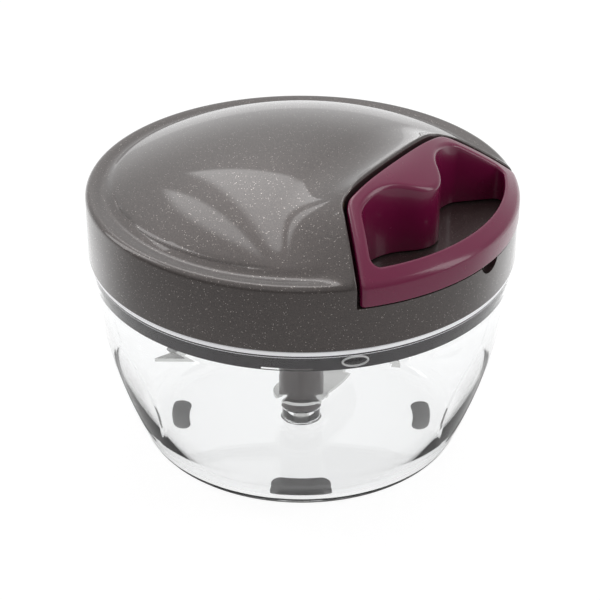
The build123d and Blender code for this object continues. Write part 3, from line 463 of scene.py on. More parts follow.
def ring_plastic(colour):
    """Plastic of the collar's ring, with thin upright joints round its front."""
    material, graph, place = new_material("ring plastic")
    x, y = graph.axes(place, "XY")
    inner, outer = (width * MM for width in RING_JOINT_WIDTH)
    joint = None
    for joint_angle in RING_JOINT_ANGLES:
        turn = FRONT_ANGLE + joint_angle
        aside = abs(y * cos(turn) - x * sin(turn))
        ahead = (x * cos(turn) + y * sin(turn)).above(0.0)
        line = (1 - aside.step(inner, outer)) * ahead
        joint = line if joint is None else joint.largest(line)
    cloud = noise(graph, place, 35.0, 3.0)
    rub = noise(graph, place, 140.0, 4.0)
    grain = noise(graph, place, 300.0)
    inputs = {
        "Base Color": mixed(graph, cloud * 0.3 + joint * 0.7, rgba(colour, 1.1), rgba(colour, 0.25)),
        "Roughness": 0.42 + (rub - 0.5) * 0.08,
        "Specular IOR Level": 0.1,
        "Normal": bump(graph, grain * 0.5 - joint * 4.0, 0.03, 0.2 * MM),
    }
    return finished(material, graph, inputs)


def rim_with_painted_glow(colour):
    """Rim of the bowl with a painted glow: emission over a pale base stands in for the light of the room that
    the clear wall gathers.
    """
    material, graph, place = new_material("rim of the bowl")
    cloud = noise(graph, place, 60.0)
    inputs = {
        "Base Color": mixed(graph, cloud, rgba(colour, 0.94), rgba(colour, 1.04)),
        "Roughness": 0.2 + cloud * 0.1,
        "Emission Color": mixed(graph, cloud, rgba(colour, 0.9), rgba(colour)),
        # painted glow: the rim gives off light though it is no lamp
        "Emission Strength": 0.36,
    }
    return finished(material, graph, inputs)


def clear_plastic(colour):
    """Clear moulded plastic with real thickness, faintly scuffed."""
    material, graph, place = new_material("clear plastic")
    scuff = noise(graph, place, 260.0, 5.0).step(0.55, 0.8)
    wave = noise(graph, place, 22.0, 1.0)
    inputs = {
        "Base Color": mixed(graph, wave * 0.3, rgba(colour), rgba(colour, 0.985)),
        "Roughness": 0.015 + scuff * 0.03,
        "Transmission Weight": 1.0,
        "IOR": 1.49,
        "Normal": bump(graph, wave, 0.04, 0.6 * MM),
    }
    return finished(material, graph, inputs)


def metal(name, colour, roughness, direction=(1.0, 1.0, 1.0)):
    """Metal with fine grinding lines along one direction and faint smudges."""
    material, graph, place = new_material(name)
    stretched = graph.node("ShaderNodeMapping", {}, {"Vector": place, "Scale": direction})
    lines = noise(graph, stretched, 900.0, 4.0)
    smudge = noise(graph, place, 60.0, 3.0)
    inputs = {
        "Base Color": mixed(graph, smudge, rgba(colour, 0.92), rgba(colour, 1.05)),
        "Metallic": 1.0,
        "Roughness": roughness + lines * 0.12 + smudge * 0.06,
        "Normal": bump(graph, lines, 0.12, 0.08 * MM),
    }
    return finished(material, graph, inputs)


def rubber(name, colour, roughness=0.62):
    """Matt rubber with a fine stipple."""
    material, graph, place = new_material(name)
    stipple = noise(graph, place, 1800.0)
    cloud = noise(graph, place, 50.0)
    inputs = {
        "Base Color": mixed(graph, cloud, rgba(colour, 0.8), rgba(colour, 1.3)),
        "Roughness": roughness + stipple * 0.15,
        "Normal": bump(graph, stipple, 0.25, 0.2 * MM),
    }
    return finished(material, graph, inputs)


def braid(colour):
    """Braided cord: two crossing sets of diagonal strands, on the piece's own UV map."""
    material, graph, place = new_material("braided cord")
    along, across = graph.axes(graph.node("ShaderNodeTexCoord", {}, (), "UV"), "XY")
    leaning = [(turns * (2 * pi)).sine() for turns in (along + across, along - across)]
    weave = leaning[0].largest(leaning[1])
    fuzz = noise(graph, place, 4200.0, 3.0)
    inputs = {
        "Base Color": mixed(graph, weave.step(-0.6, 0.9), rgba(colour, 0.45), rgba(colour, 1.1)),
        "Roughness": 0.7 + fuzz * 0.2,
        "Normal": bump(graph, weave + fuzz * 0.4, 0.5, 0.2 * MM),
    }
    return finished(material, graph, inputs)


def wound_cord(colour):
    """Cord on the spool: short diagonal fibres."""
    material, graph, place = new_material("wound cord")
    leaning = {"Vector": place, "Rotation": (0.0, 0.6, 0.0), "Scale": (1.0, 1.0, 2.2)}
    fibre = noise(graph, graph.node("ShaderNodeMapping", {}, leaning), 1500.0, 4.0)
    inputs = {
        "Base Color": mixed(graph, fibre, rgba(colour, 0.6), rgba(colour, 1.1)),
        "Roughness": 0.7 + fibre * 0.2,
        "Normal": bump(graph, fibre, 0.5, 0.3 * MM),
    }
    return finished(material, graph, inputs)


MATERIALS = {}


def shared_material(name):
    """One of the finishes, made when it is first asked for."""
    if name not in MATERIALS:
        scene = bpy.context.scene
        handle_colour = scene.chopper_handle.colour
        make = {
            "lid": lambda: flake_paint(scene.chopper_lid.colour),
            "handle": lambda: moulded_plastic("handle plastic", handle_colour, 0.26, 0.4, 0.015, 700.0, 0.05),
            # pale rim with a painted glow
            "rim": lambda: rim_with_painted_glow((0.86, 0.86, 0.88)),
            "ring": lambda: ring_plastic((0.013, 0.008, 0.012)),
            "clear": lambda: clear_plastic(scene.chopper_bowl.colour),
            "base": lambda: moulded_plastic("base plastic", (0.062, 0.046, 0.058), 0.34, 0.2, 0.05),
            "stem": lambda: moulded_plastic("stem plastic", (0.055, 0.042, 0.04), 0.3, 0.3, 0.04),
            "acetal": lambda: moulded_plastic("white drive plastic", (0.72, 0.71, 0.67), 0.38, 0.0, 0.06),
            "seal": lambda: rubber("seal rubber", (0.10, 0.085, 0.095), 0.5),
            "pads": lambda: rubber("pad rubber", scene.chopper_drive.rubber_colour),
            "blade": lambda: metal("blade steel", (0.63, 0.63, 0.62), 0.14, (0.15, 1.0, 1.0)),
            "steel": lambda: metal("turned steel", (0.58, 0.57, 0.55), 0.2, (1.0, 1.0, 0.2)),
            "spring": lambda: metal("spring steel", (0.34, 0.35, 0.37), 0.24, (1.0, 1.0, 0.1)),
            "screws": lambda: metal("zinc plated steel", (0.6, 0.6, 0.57), 0.27),
            "brass": lambda: metal("brass", (0.72, 0.5, 0.2), 0.22),
            "cord": lambda: braid(scene.chopper_drive.cord_colour),
            "winding": lambda: wound_cord(scene.chopper_drive.cord_colour),
        }
        MATERIALS[name] = make[name]()
    return MATERIALS[name]


# ==== meshes
def link(name, data):
    """A new object in the scene."""
    holder = bpy.data.objects.new(name, data)
    bpy.context.scene.collection.objects.link(holder)
    return holder


def mesh_object(name, shell, material):
    """A piece made of a shell."""
    mesh = bpy.data.meshes.new(name)
    mesh.from_pydata([(x * MM, y * MM, z * MM) for x, y, z in shell.points], [], shell.faces)
    mesh.validate()
    mesh.materials.append(shared_material(material))
    return link(name, mesh)


def smooth(piece, limit):
    """Smooth shading, except over edges that turn by more than a limit in degrees."""
    piece.data.shade_smooth()
    piece.data.set_sharp_from_angle(angle=radians(limit))


def outward(piece):
    """Merge doubles and turn every face outwards."""
    shell = bmesh.new()
    shell.from_mesh(piece.data)
    bmesh.ops.remove_doubles(shell, verts=shell.verts, dist=0.002 * MM)
    bmesh.ops.recalc_face_normals(shell, faces=shell.faces)
    shell.to_mesh(piece.data)
    shell.free()


def solid(name, shell, material):
    """A closed piece made of a shell, its faces turned outwards."""
    piece = mesh_object(name, shell, material)
    outward(piece)
    return piece


def join(piece, part):
    """Take a part's mesh into a piece; the part goes."""
    joined = bmesh.new()
    joined.from_mesh(piece.data)
    joined.from_mesh(part.data)
    joined.to_mesh(piece.data)
    joined.free()
    bpy.data.objects.remove(part)


def settled_mesh(holder):
    """A plain mesh of what an object's curve or modifiers make."""
    bpy.context.view_layer.update()
    return bpy.data.meshes.new_from_object(holder.evaluated_get(bpy.context.evaluated_depsgraph_get()))


def cut(piece, tool_name, shell):
    """Cut a closed shape out of a piece for good."""
    tool = solid(tool_name, shell, "lid")
    modifier = piece.modifiers.new("cut", "BOOLEAN")
    modifier.operation = "DIFFERENCE"
    modifier.solver = "EXACT"
    modifier.object = tool
    old, mesh = piece.data, settled_mesh(piece)
    piece.modifiers.remove(modifier)
    piece.data = mesh
    bpy.data.meshes.remove(old)
    bpy.data.objects.remove(tool)


def place_piece(piece, body, slot, *nodes):
    """Let a finished piece ride on its body and stand for frame nodes, which it hides. The slot is not used.
    """
    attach(piece, body)
    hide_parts(*nodes)


def dress(material, *nodes):
    """Give frame nodes a finish."""
    for node in nodes:
        mesh_holder = NODES[node]
        if not mesh_holder.material_slots:
            raise RuntimeError(f"{node} has no material slot")
        for slot in mesh_holder.material_slots:
            slot.material = shared_material(material)


# ==== plan outlines, in millimetres
PATH_GRAIN = 0.3


def even_turns(count, offset=0):
    """Even angles of a full turn."""
    return [2 * pi * (k + offset) / count for k in range(count)]


def arc(centre, radius, start, end, grain):
    """Points along an arc, both ends included."""
    count = max(2, ceil(abs(end - start) * radius / grain))
    angles = [start + (end - start) * number / count for number in range(count + 1)]
    return [(centre[0] + radius * cos(a), centre[1] + radius * sin(a)) for a in angles]


def resampled(line, grain, closed=False):
    """Points at even distances along a line."""
    points = numpy.array(line + line[:1] if closed else line, float)
    lengths = numpy.hypot(*numpy.diff(points, axis=0).T)
    run = numpy.concatenate([[0], numpy.cumsum(lengths)])
    count = max(2, round(run[-1] / grain))
    marks = numpy.linspace(0, run[-1], count + 1)
    even = list(zip(numpy.interp(marks, run, points[:, 0]), numpy.interp(marks, run, points[:, 1])))
    return even[:-1] if closed else even


def held_inside(points, radius):
    """Points, those outside a circle about the axis moved in onto it."""
    shares = [min(radius / hypot(x, y), 1) for x, y in points]
    return [(x * share, y * share) for (x, y), share in zip(points, shares)]


def flank_corner(grow):
    """Corner of the handle's outline, moved out by a growth."""
    return (HANDLE_INNER_X - grow, HANDLE_CORNER_Y + (grow * (1 - ALONG_FLANK[1])) / ALONG_FLANK[0])


def flank_run(start, run):
    """Place at a distance from a start, in the flank's direction."""
    return (start[0] + run * ALONG_FLANK[0], start[1] + run * ALONG_FLANK[1])


def flank_hit(start, radius):
    """Where a line in the flank's direction meets a circle about the axis."""
    x, y = start
    along = x * ALONG_FLANK[0] + y * ALONG_FLANK[1]
    return flank_run(start, -along + sqrt(along**2 - x**2 - y**2 + radius**2))


def rounded_corner(before, corner, after, radius, grain):
    """Points of an arc that rounds a corner between two straight runs."""
    corner = Vector(corner)
    first, second = [(Vector(place) - corner).normalized() for place in (before, after)]
    half = acos(max(-1, min(1, first.dot(second)))) / 2
    start, end = [corner + way * (radius / tan(half)) for way in (first, second)]
    centre = corner + (first + second).normalized() * (radius / sin(half))
    arm = (start - centre).normalized()
    sweep = (pi - 2 * half) * (1 if (start - centre).cross(end - centre) > 0 else -1)
    count = max(3, ceil(abs(sweep) * radius / grain))
    turns = [sweep * (k / count) for k in range(count + 1)]
    return [(centre + Matrix.Rotation(turn, 2) @ arm * radius)[:] for turn in turns]


def flanks_and_bar(grow, radius, grain):
    """The outline's open run from one end of its outer arc to the other, round its inner corners."""
    corner = flank_corner(grow)
    end = flank_hit(corner, radius)
    bend = HANDLE_CORNER_ROUND + grow
    upper = rounded_corner(end, corner, (corner[0], -corner[1]), bend, grain)
    half = [end, *upper, (corner[0], 0)]
    return half + [(x, -y) for x, y in reversed(half[:-1])]


def spline_through(knots, first, last, grain):
    """Points of a smooth curve through knots, with given directions at its ends."""
    knots = numpy.array(knots, float)
    chords = numpy.hypot(*numpy.diff(knots, axis=0).T)
    count = len(knots)
    system = numpy.zeros((count, count))
    wanted = numpy.zeros((count, 2))
    system[0, 0] = system[-1, -1] = 1
    wanted[0] = numpy.array(first) / hypot(*first)
    wanted[-1] = numpy.array(last) / hypot(*last)
    for k in range(1, count - 1):
        before, after = chords[k - 1], chords[k]
        system[k, k - 1 : k + 2] = (after, 2 * (before + after), before)
        rise = (knots[k] - knots[k - 1]) * after / before + (knots[k + 1] - knots[k]) * before / after
        wanted[k] = 3 * rise
    slopes = numpy.linalg.solve(system, wanted)
    points = []
    for k, chord in enumerate(chords):
        steps = max(4, ceil(chord / grain))
        for step in range(steps + (k == count - 2)):
            t = step / steps
            points.append(
                (2 * t**3 - 3 * t**2 + 1) * knots[k]
                + (t**3 - 2 * t**2 + t) * chord * slopes[k]
                + (3 * t**2 - 2 * t**3) * knots[k + 1]
                + (t**3 - t**2) * chord * slopes[k + 1]
            )
    return [tuple(point) for point in points]


# ==== finger hole of the handle: two lobes either side of a cusp
HOLE_INNER_X = HANDLE_INNER_X + HOLE_BAR
HOLE_OUTER_RADIUS = HANDLE_RADIUS - HOLE_RIM
LOBE_Y = HANDLE_CORNER_Y - 5.0
CUSP_TIP = (HOLE_INNER_X + 9.9, 0)
CUSP_SIDE = (HOLE_INNER_X + 8.0, 5.4)
CUSP_FOOT = (HOLE_INNER_X + 3.7, 10.0)
LOBE_START = (HOLE_INNER_X + 0.6, LOBE_Y - 5.5)
LOBE_LEAD = 1.6


def hole_outline(grain):
    """Closed plan outline of the finger hole."""
    start = (HANDLE_INNER_X + ALONG_FLANK[1] * HOLE_FLANK, HANDLE_CORNER_Y - ALONG_FLANK[0] * HOLE_FLANK)
    shoulder = flank_run(start, (HOLE_INNER_X + LOBE_LEAD - start[0]) / ALONG_FLANK[0])
    corner = flank_hit(start, HOLE_OUTER_RADIUS)
    knots = [CUSP_TIP, CUSP_SIDE, CUSP_FOOT, LOBE_START, (HOLE_INNER_X, LOBE_Y), shoulder]
    lobe = spline_through(knots, (0, 1), ALONG_FLANK, grain)
    tangent = (corner[0] + corner[1], corner[1] - corner[0])
    bend = rounded_corner(shoulder, corner, tangent, HOLE_CORNER_ROUND, grain)
    bend = held_inside(bend, HOLE_OUTER_RADIUS)
    last = numpy.arctan2(bend[-1][1], bend[-1][0])
    half = lobe + bend + arc((0, 0), HOLE_OUTER_RADIUS, last, 0, grain)[1:]
    whole = half + [(x, -y) for x, y in reversed(half[1:-1])]
    return resampled(whole, grain, True)


# ==== heights of the lid's skin
def larger(first, second, blend):
    """The larger of two values, with a smooth change from one to the other."""
    top = max(first, second)
    return top + blend * log(exp((first - top) / blend) + exp((second - top) / blend))


def lip_share(x, y):
    """How far a place belongs to the lip round the handle: 1 at the dock, 0 out on the dome."""
    from_bar = HANDLE_INNER_X - x
    from_flank = (abs(y) - HANDLE_CORNER_Y) * ALONG_FLANK[0] + from_bar * ALONG_FLANK[1]
    fall = (larger(from_bar, from_flank, LIP_CORNER) - LIP_WIDTH) / LIP_FLARE
    return (1 - min(max(fall, 0), 1)) ** 2


def skin_height(x, y):
    """Height of the lid's skin: a shallow dome that rises to a lip round the handle's dock."""
    radius = min(hypot(x, y), LID_RADIUS + 1)
    valley_z = WALL_TOP_Z - VALLEY_DROP
    dome = DOME_TOP_Z - (DOME_TOP_Z - valley_z) * (radius / VALLEY_RADIUS) ** 2
    apex = DOME_TOP_Z + CREST_APEX_RISE
    crest = apex - (apex - WALL_TOP_Z + CREST_DROP) * (radius / LID_RADIUS) ** 2
    crest = -larger(-CREST_TOP_Z, -crest, CREST_BLEND)
    return dome + (crest - dome) * lip_share(x, y)


def rounding(distance, radius):
    """Drop of a rounded edge at a distance in from it."""
    if distance >= radius:
        return 0.0
    return radius - sqrt(max(radius**2 - (radius - distance) ** 2, 0.0))


def smoothed(value, start, end):
    """0 before start, 1 after end, smooth between."""
    share = min(max((value - start) / (end - start), 0), 1)
    return share * share * (3 - 2 * share)


# ==== plan meshes
def inside_loops(places, loops):
    """Which places lie inside an odd number of closed loops."""
    inside = numpy.zeros(len(places), bool)
    for loop in loops:
        start = numpy.array(loop)
        end = numpy.roll(start, -1, axis=0)
        for (ax, ay), (bx, by) in zip(start, end):
            if ay == by:
                continue
            crosses = (ay > places[:, 1]) != (by > places[:, 1])
            inside ^= crosses & (places[:, 0] < (bx - ax) * (places[:, 1] - ay) / (by - ay) + ax)
    return inside


def clearance(places, loops):
    """Distance from each place to the nearest side of the loops."""
    nearest = numpy.full(len(places), 1e9)
    for loop in loops:
        start = numpy.array(loop)
        side = numpy.roll(start, -1, axis=0) - start
        for origin, run in zip(start, side):
            length = run @ run
            if length == 0:
                continue
            share = numpy.clip(((places - origin) @ run) / length, 0, 1)
            gap = places - origin - share[:, None] * run
            nearest = numpy.minimum(nearest, numpy.hypot(gap[:, 0], gap[:, 1]))
    return nearest


class Shell:
    """A growing mesh: points in millimetres and faces."""

    def __init__(self):
        self.points = []
        self.faces = []

    def row(self, points):
        """Add a row of points and give their numbers."""
        first = len(self.points)
        self.points += [tuple(point) for point in points]
        return list(range(first, len(self.points)))

    def strip(self, first, second):
        """Quads between two closed rows of the same length."""
        for k in range(len(first)):
            after = (k + 1) % len(first)
            self.faces.append((first[k], first[after], second[after], second[k]))

    def strips(self, rows):
        """Quads between closed rows, each with the next."""
        for first, second in zip(rows, rows[1:]):
            self.strip(first, second)

    def add(self, other, shift=(0, 0)):
        """Take another shell in, moved in plan."""
        first = len(self.points)
        self.points += [(x + shift[0], y + shift[1], z) for x, y, z in other.points]
        self.faces += [tuple(corner + first for corner in face) for face in other.faces]

    def fill(self, loops, height, candidates, margin):
        """Triangles between closed rows of points, through the candidates that clear the rows by a margin."""
        outlines = [[self.points[number][:2] for number in loop] for loop in loops]
        places = numpy.array(candidates, float)
        places = places[inside_loops(places, outlines)]
        places = places[clearance(places, outlines) > margin]
        inner = self.row([(x, y, height(x, y)) for x, y in places])
        numbers = [number for loop in loops for number in loop] + inner
        edges = []
        first = 0
        for loop in loops:
            edges += [(first + k, first + (k + 1) % len(loop)) for k in range(len(loop))]
            first += len(loop)
        flat = [Vector(self.points[number][:2]) for number in numbers]
        made = delaunay_2d_cdt(flat, edges, [], 1, 1e-6)
        source = [numbers[origins[0]] for origins in made[3]]
        triangles = [tuple(source[corner] for corner in face) for face in made[2]]
        corners = numpy.array([[self.points[corner][:2] for corner in face] for face in triangles])
        middles = corners.sum(axis=1) / 3
        wanted = inside_loops(middles, outlines)
        self.faces += [face for face, good in zip(triangles, wanted) if good]


def concentric(radii, grain):
    """Places on rings about the axis, every other ring turned by half a step."""
    places = []
    for number, radius in enumerate(radii):
        turns = even_turns(max(6, round(2 * pi * radius / grain)), number % 2 / 2)
        places += [(radius * cos(turn), radius * sin(turn)) for turn in turns]
    return places


def square_grid(left, right, lower, upper, grain):
    """Places on a grid."""
    columns = numpy.arange(left + grain / 2, right, grain)
    rows = numpy.arange(lower + grain / 2, upper, grain)
    return [(x, y) for x in columns for y in rows]


# ==== cover of the lid: grains are distances between points, spaces keep points off an edge
EDGE_STEPS = 7
EDGE_TURNS = [k * pi / 2 / EDGE_STEPS for k in range(EDGE_STEPS + 1)]
FOOT_TURNS = EDGE_TURNS[::2] + [pi / 2]
WALL_ARC_COUNT = 430
MOUTH_ARC_COUNT = 150
DOCK_COUNT = 190
FIRST_RING = 0.6
RING_SPACE = 0.3
EDGE_SPACE = 0.4
GROOVE_RINGS = (-1.6, -1, -0.7, -0.35, 0, 0.35, 0.7, 1, 1.6)
UNDERSIDE_GRAIN = 2.4
UNDERSIDE_SPACE = 1.0
DOCK_GRAIN = 1.6
DOCK_SPACE = 0.15
DOCK_BACK = 6
DOCK_HALF = 62
NOTCH_GRAIN = 0.3
NOTCH_BACK = 1.2
NOTCH_HALF = 5.4
NOTCH_SPACE = 0.4
BORE_REACH = 2.5
BORE_SIDES = 40
BOSS_COUNT = 6
BOSS_RADII = (1.22, 3.6)
BOSS_ROOT = 0.6
BOSS_DOCK_ROOT = 1.5
BOSS_DOCK_REACH = 4.0
POST_RADII = (2.52, 4.8)
POST_RISE = 16.8
POST_DROP = 1.4
TUBE_GRAIN = 0.6
LUG_COUNT = 4
LUG_RADIUS = 61.4
LUG_ROOT = 0.4
LUG_HEIGHTS = (0.4, 2.0)
LUG_MIDDLE = radians(12)
LUG_SPAN = radians(24)
LUG_GRAIN = 0.8


def notch_drop(x, y):
    """Depth of the thumb notch in the dock's floor."""
    half = NOTCH_WIDTH / 2
    if abs(y) >= half:
        return 0.0
    radius = (half**2 + NOTCH_DEPTH**2) / (2 * NOTCH_DEPTH)
    depth = NOTCH_DEPTH - radius + sqrt(radius**2 - y**2)
    start = LID_RADIUS - NOTCH_LENGTH
    return max(depth, 0) * smoothed(x, start - NOTCH_FADE, start + NOTCH_FADE)


def path_length(path):
    """Length of a line of points."""
    return float(sum(hypot(b[0] - a[0], b[1] - a[1]) for a, b in zip(path, path[1:])))


def dock_floor(x, y):
    """Height of the dock's floor."""
    return DOCK_FLOOR_Z - notch_drop(x, y)


def cover_loop(radius, grow):
    """Plan loop of the cover's skin: round the wall, then in along the dock."""
    end = flank_hit(flank_corner(grow), radius)
    start = numpy.arctan2(end[1], end[0])
    turns = numpy.linspace(start, 2 * pi - start, WALL_ARC_COUNT + 1)
    wall = [(radius * cos(turn), radius * sin(turn)) for turn in turns]
    path = flanks_and_bar(grow, radius, PATH_GRAIN)
    return wall + resampled([(x, -y) for x, y in path], path_length(path) / DOCK_COUNT)[1:-1]


def mouth_loop(radius, grow):
    """Points on the wall across the dock's mouth, from its lower to its upper corner, ends left out."""
    end = flank_hit(flank_corner(grow), radius)
    half = numpy.arctan2(end[1], end[0])
    turns = numpy.linspace(-half, half, MOUTH_ARC_COUNT + 1)[1:-1]
    return [(radius * cos(turn), radius * sin(turn)) for turn in turns]


def dock_distance(x, y, grow):
    """Distance of a place outside the dock from its edge."""
    corner = flank_corner(grow)
    bend = HANDLE_CORNER_ROUND + grow
    from_bar = corner[0] - x
    from_flank = (abs(y) - corner[1]) * ALONG_FLANK[0] + from_bar * ALONG_FLANK[1]
    centre = (corner[0] + bend, corner[1] - bend * (1 - ALONG_FLANK[1]) / ALONG_FLANK[0])
    arm = (x - centre[0], abs(y) - centre[1])
    if arm[0] < 0 and arm[0] * ALONG_FLANK[0] + arm[1] * ALONG_FLANK[1] < 0 and arm[1] > 0:
        return hypot(*arm) - bend
    return max(from_bar, from_flank)


def groove_share(x, y):
    """1 where the line between dome and rim band is at its full depth, at both sides of the lid."""
    turn = abs(atan2(y, x))
    return smoothed(turn, *GROOVE_START) * (1 - smoothed(turn, *GROOVE_END))


def underside(x, y):
    """Height of the cover's inner skin."""
    past_turn = max(hypot(x, y) - VALLEY_RADIUS + UNDERSIDE_TURN, 0)
    sunk = skin_height(x, y) - LID_WALL - UNDERSIDE_SLOPE * past_turn
    return larger(WALL_TOP_Z - LID_WALL, sunk, UNDERSIDE_BLEND)


def below_skin(shell, radius, grow, top_row, floor_height, bottom_rows):
    """Everything below a skin's edge: the dock's walls and floor, and the wall down to the bottom rows."""
    corner_number = WALL_ARC_COUNT + 1
    edge = [shell.points[number][:2] for number in top_row]
    level = shell.row([(x, y, floor_height(x, y)) for x, y in edge])
    shell.strip(top_row, level)
    mouth = shell.row([(x, y, floor_height(x, y)) for x, y in mouth_loop(radius, grow)])
    notch_x = LID_RADIUS - NOTCH_LENGTH - NOTCH_BACK
    near = square_grid(notch_x, radius, -NOTCH_HALF, NOTCH_HALF, NOTCH_GRAIN)
    far = [
        (x, y)
        for x, y in square_grid(HANDLE_INNER_X - DOCK_BACK, radius, -DOCK_HALF, DOCK_HALF, DOCK_GRAIN)
        if x < notch_x - NOTCH_SPACE or abs(y) > NOTCH_HALF + NOTCH_SPACE
    ]
    shell.fill([level[corner_number - 1 :] + level[:1] + mouth[::-1]], floor_height, far + near, DOCK_SPACE)
    circle = level[:corner_number] + mouth
    rows = [circle]
    places = [shell.points[number][:2] for number in circle]
    for inset, z in bottom_rows:
        shares = [(radius - inset) / hypot(x, y) for x, y in places]
        rows.append(shell.row([(x * share, y * share, z) for (x, y), share in zip(places, shares)]))
    shell.strips(rows)
    return rows[-1]


def cover_shell(settings):
    """The lid's cover as one closed hollow mesh."""
    edge_round = settings.edge_round / MM
    lip_round = settings.lip_round / MM
    dock_gap = settings.dock_gap / MM
    groove_depth = settings.groove_depth / MM
    groove_width = settings.groove_width / MM
    grain = settings.grain / MM

    def outer(x, y):
        radius = hypot(x, y)
        height = larger(WALL_TOP_Z - BAND_DROP, skin_height(x, y), BAND_BLEND)
        apart = abs(radius - GROOVE_RADIUS) / groove_width
        if apart < 1:
            height -= groove_depth * (1 - apart**2) ** 2 * groove_share(x, y)
        valley = exp(-(((radius - VALLEY_RADIUS) / VALLEY_SPREAD) ** 2))
        height -= VALLEY_DEPTH * valley * (1 - lip_share(x, y)) ** 2
        height -= rounding(LID_RADIUS - radius, edge_round)
        return height - rounding(max(dock_distance(x, y, dock_gap), 0), lip_round)

    shell = Shell()
    rings = []
    for turn in EDGE_TURNS:
        inset = 1 - cos(turn)
        loop = cover_loop(LID_RADIUS - edge_round * inset, dock_gap + lip_round * inset)
        rings.append(shell.row([(x, y, outer(x, y)) for x, y in loop]))
    shell.strips(rings)
    groove_rings = [GROOVE_RADIUS + groove_width * share for share in GROOVE_RINGS]
    plain_rings = [
        radius
        for radius in numpy.arange(FIRST_RING, LID_RADIUS - edge_round, grain)
        if min(abs(radius - other) for other in groove_rings) > RING_SPACE * grain
    ]
    places = concentric(sorted(plain_rings + groove_rings), grain)
    shell.fill([rings[-1]], outer, places, EDGE_SPACE * grain)
    foot = EDGE_FOOT_ROUND
    feet = [(foot * (1 - cos(turn)), LID_EDGE_Z + foot * (1 - sin(turn))) for turn in FOOT_TURNS]
    outside = below_skin(shell, LID_RADIUS, dock_gap, rings[0], dock_floor, feet)

    bore = LID_RADIUS - LID_WALL
    grow = dock_gap + DOCK_WALL
    roof = shell.row([(x, y, underside(x, y)) for x, y in cover_loop(bore, grow)])
    places = concentric(numpy.arange(UNDERSIDE_GRAIN / 2, bore, UNDERSIDE_GRAIN), UNDERSIDE_GRAIN)
    shell.fill([roof], underside, places, UNDERSIDE_SPACE)
    inside = below_skin(shell, bore, grow, roof, lambda x, y: DOCK_FLOOR_Z - DOCK_FLOOR, [(0, LID_EDGE_Z)])
    shell.strip(outside, inside)
    return shell


def ring_solid(radii, bottom, top, start=0, span=2 * pi, grain=TUBE_GRAIN):
    """Closed sector of a ring, or a whole tube where the span is a full turn."""
    shell = Shell()
    inner, outer = radii
    whole = span == 2 * pi
    count = max(8, ceil(span * outer / grain))
    turns = [start + span * k / count for k in range(count if whole else count + 1)]
    section = [(inner, bottom), (outer, bottom), (outer, top), (inner, top)]
    columns = [shell.row([(r * cos(turn), r * sin(turn), z) for r, z in section]) for turn in turns]
    shell.strips(columns + columns[:1] if whole else columns)
    if not whole:
        shell.faces += [tuple(columns[0]), tuple(reversed(columns[-1]))]
    return shell


def block(low_corner, high_corner):
    """A closed block between two corners."""
    shell = Shell()
    shell.row(product(*zip(low_corner, high_corner)))
    shell.faces = [(0, 1, 3, 2), (4, 6, 7, 5), (0, 4, 5, 1), (2, 3, 7, 6), (0, 2, 6, 4), (1, 5, 7, 3)]
    return shell


def rod(start_x, end_x, radius):
    """A closed rod along X at the cord's height."""
    shell = Shell()
    turns = even_turns(BORE_SIDES)
    around = [(radius * cos(turn), CORD_Z + radius * sin(turn)) for turn in turns]
    first, last = [shell.row([(x, *place) for place in around]) for x in (start_x, end_x)]
    shell.strip(first, last)
    shell.faces += [tuple(reversed(first)), tuple(last)]
    return shell


def cover_fittings():
    """Screw bosses, the spool's post and the bayonet's lugs, all inside the cover."""
    shell = Shell()
    for turn in even_turns(BOSS_COUNT):
        place = (SCREW_CIRCLE * cos(SCREW_START + turn), SCREW_CIRCLE * sin(SCREW_START + turn))
        roof = skin_height(*place) - LID_WALL + BOSS_ROOT
        if dock_distance(*place, 0) < BOSS_DOCK_REACH:
            roof = DOCK_FLOOR_Z - DOCK_FLOOR + BOSS_DOCK_ROOT
        shell.add(ring_solid(BOSS_RADII, PLATE_TOP_Z, roof), place)
    shell.add(ring_solid(POST_RADII, PLATE_TOP_Z + POST_RISE, DOME_TOP_Z - POST_DROP))
    radii = (LUG_RADIUS, LID_RADIUS - LID_WALL + LUG_ROOT)
    bottom, top = [LID_EDGE_Z + height for height in LUG_HEIGHTS]
    for turn in even_turns(LUG_COUNT):
        shell.add(ring_solid(radii, bottom, top, LUG_MIDDLE - LUG_SPAN / 2 + turn, LUG_SPAN, LUG_GRAIN))
    return shell


class CHOPPER_OT_lid_cover(bpy.types.Operator):
    """Make the lid's cover: dome, rim band, lip, wall and the handle's dock"""

    bl_idname = "chopper.lid_cover"
    bl_label = "Lid cover"

    def execute(self, context):
        cover = solid("cover", cover_shell(context.scene.chopper_lid), "lid")
        cut(cover, "eyelet bore", rod(DOCK_BACK_X - BORE_REACH, HANDLE_INNER_X, EYELET_RADIUS))
        join(cover, solid("cover fittings", cover_fittings(), "lid"))
        smooth(cover, 38)
        place_piece(cover, "lid", "lid_plastic", "lid_cover")
        return {"FINISHED"}


# ==== handle: grains of its outline and of its hole, then of its top and foot
HANDLE_GRAINS = (0.45, 0.4)
HANDLE_TOP_GRAIN = 0.7
CROWN_SPACE = 0.35
SLAB_FOOT_GRAIN = 2.5
SLAB_FOOT_SPACE = 0.8
FERRULE_LENGTH = 5.0
FERRULE_GAP = 0.3
SLOT_HALF = 2.7
CHANNEL_HALF = 1.25
SLOT_OVER = 1


def handle_outline(grain):
    """Closed plan outline of the handle with its outer corners eased."""
    path = flanks_and_bar(0, HANDLE_RADIUS, PATH_GRAIN)
    end = path[0]
    tangent = (end[0] + end[1], end[1] - end[0])
    ease = held_inside(rounded_corner(path[1], end, tangent, HANDLE_TIP_ROUND, PATH_GRAIN), HANDLE_RADIUS)
    half = numpy.arctan2(ease[-1][1], ease[-1][0])
    across = arc((0, 0), HANDLE_RADIUS, -half, half, grain)[1:-1]
    whole = ease[::-1] + path[1:-1] + [(x, -y) for x, y in ease] + across
    return resampled(whole, grain, True)


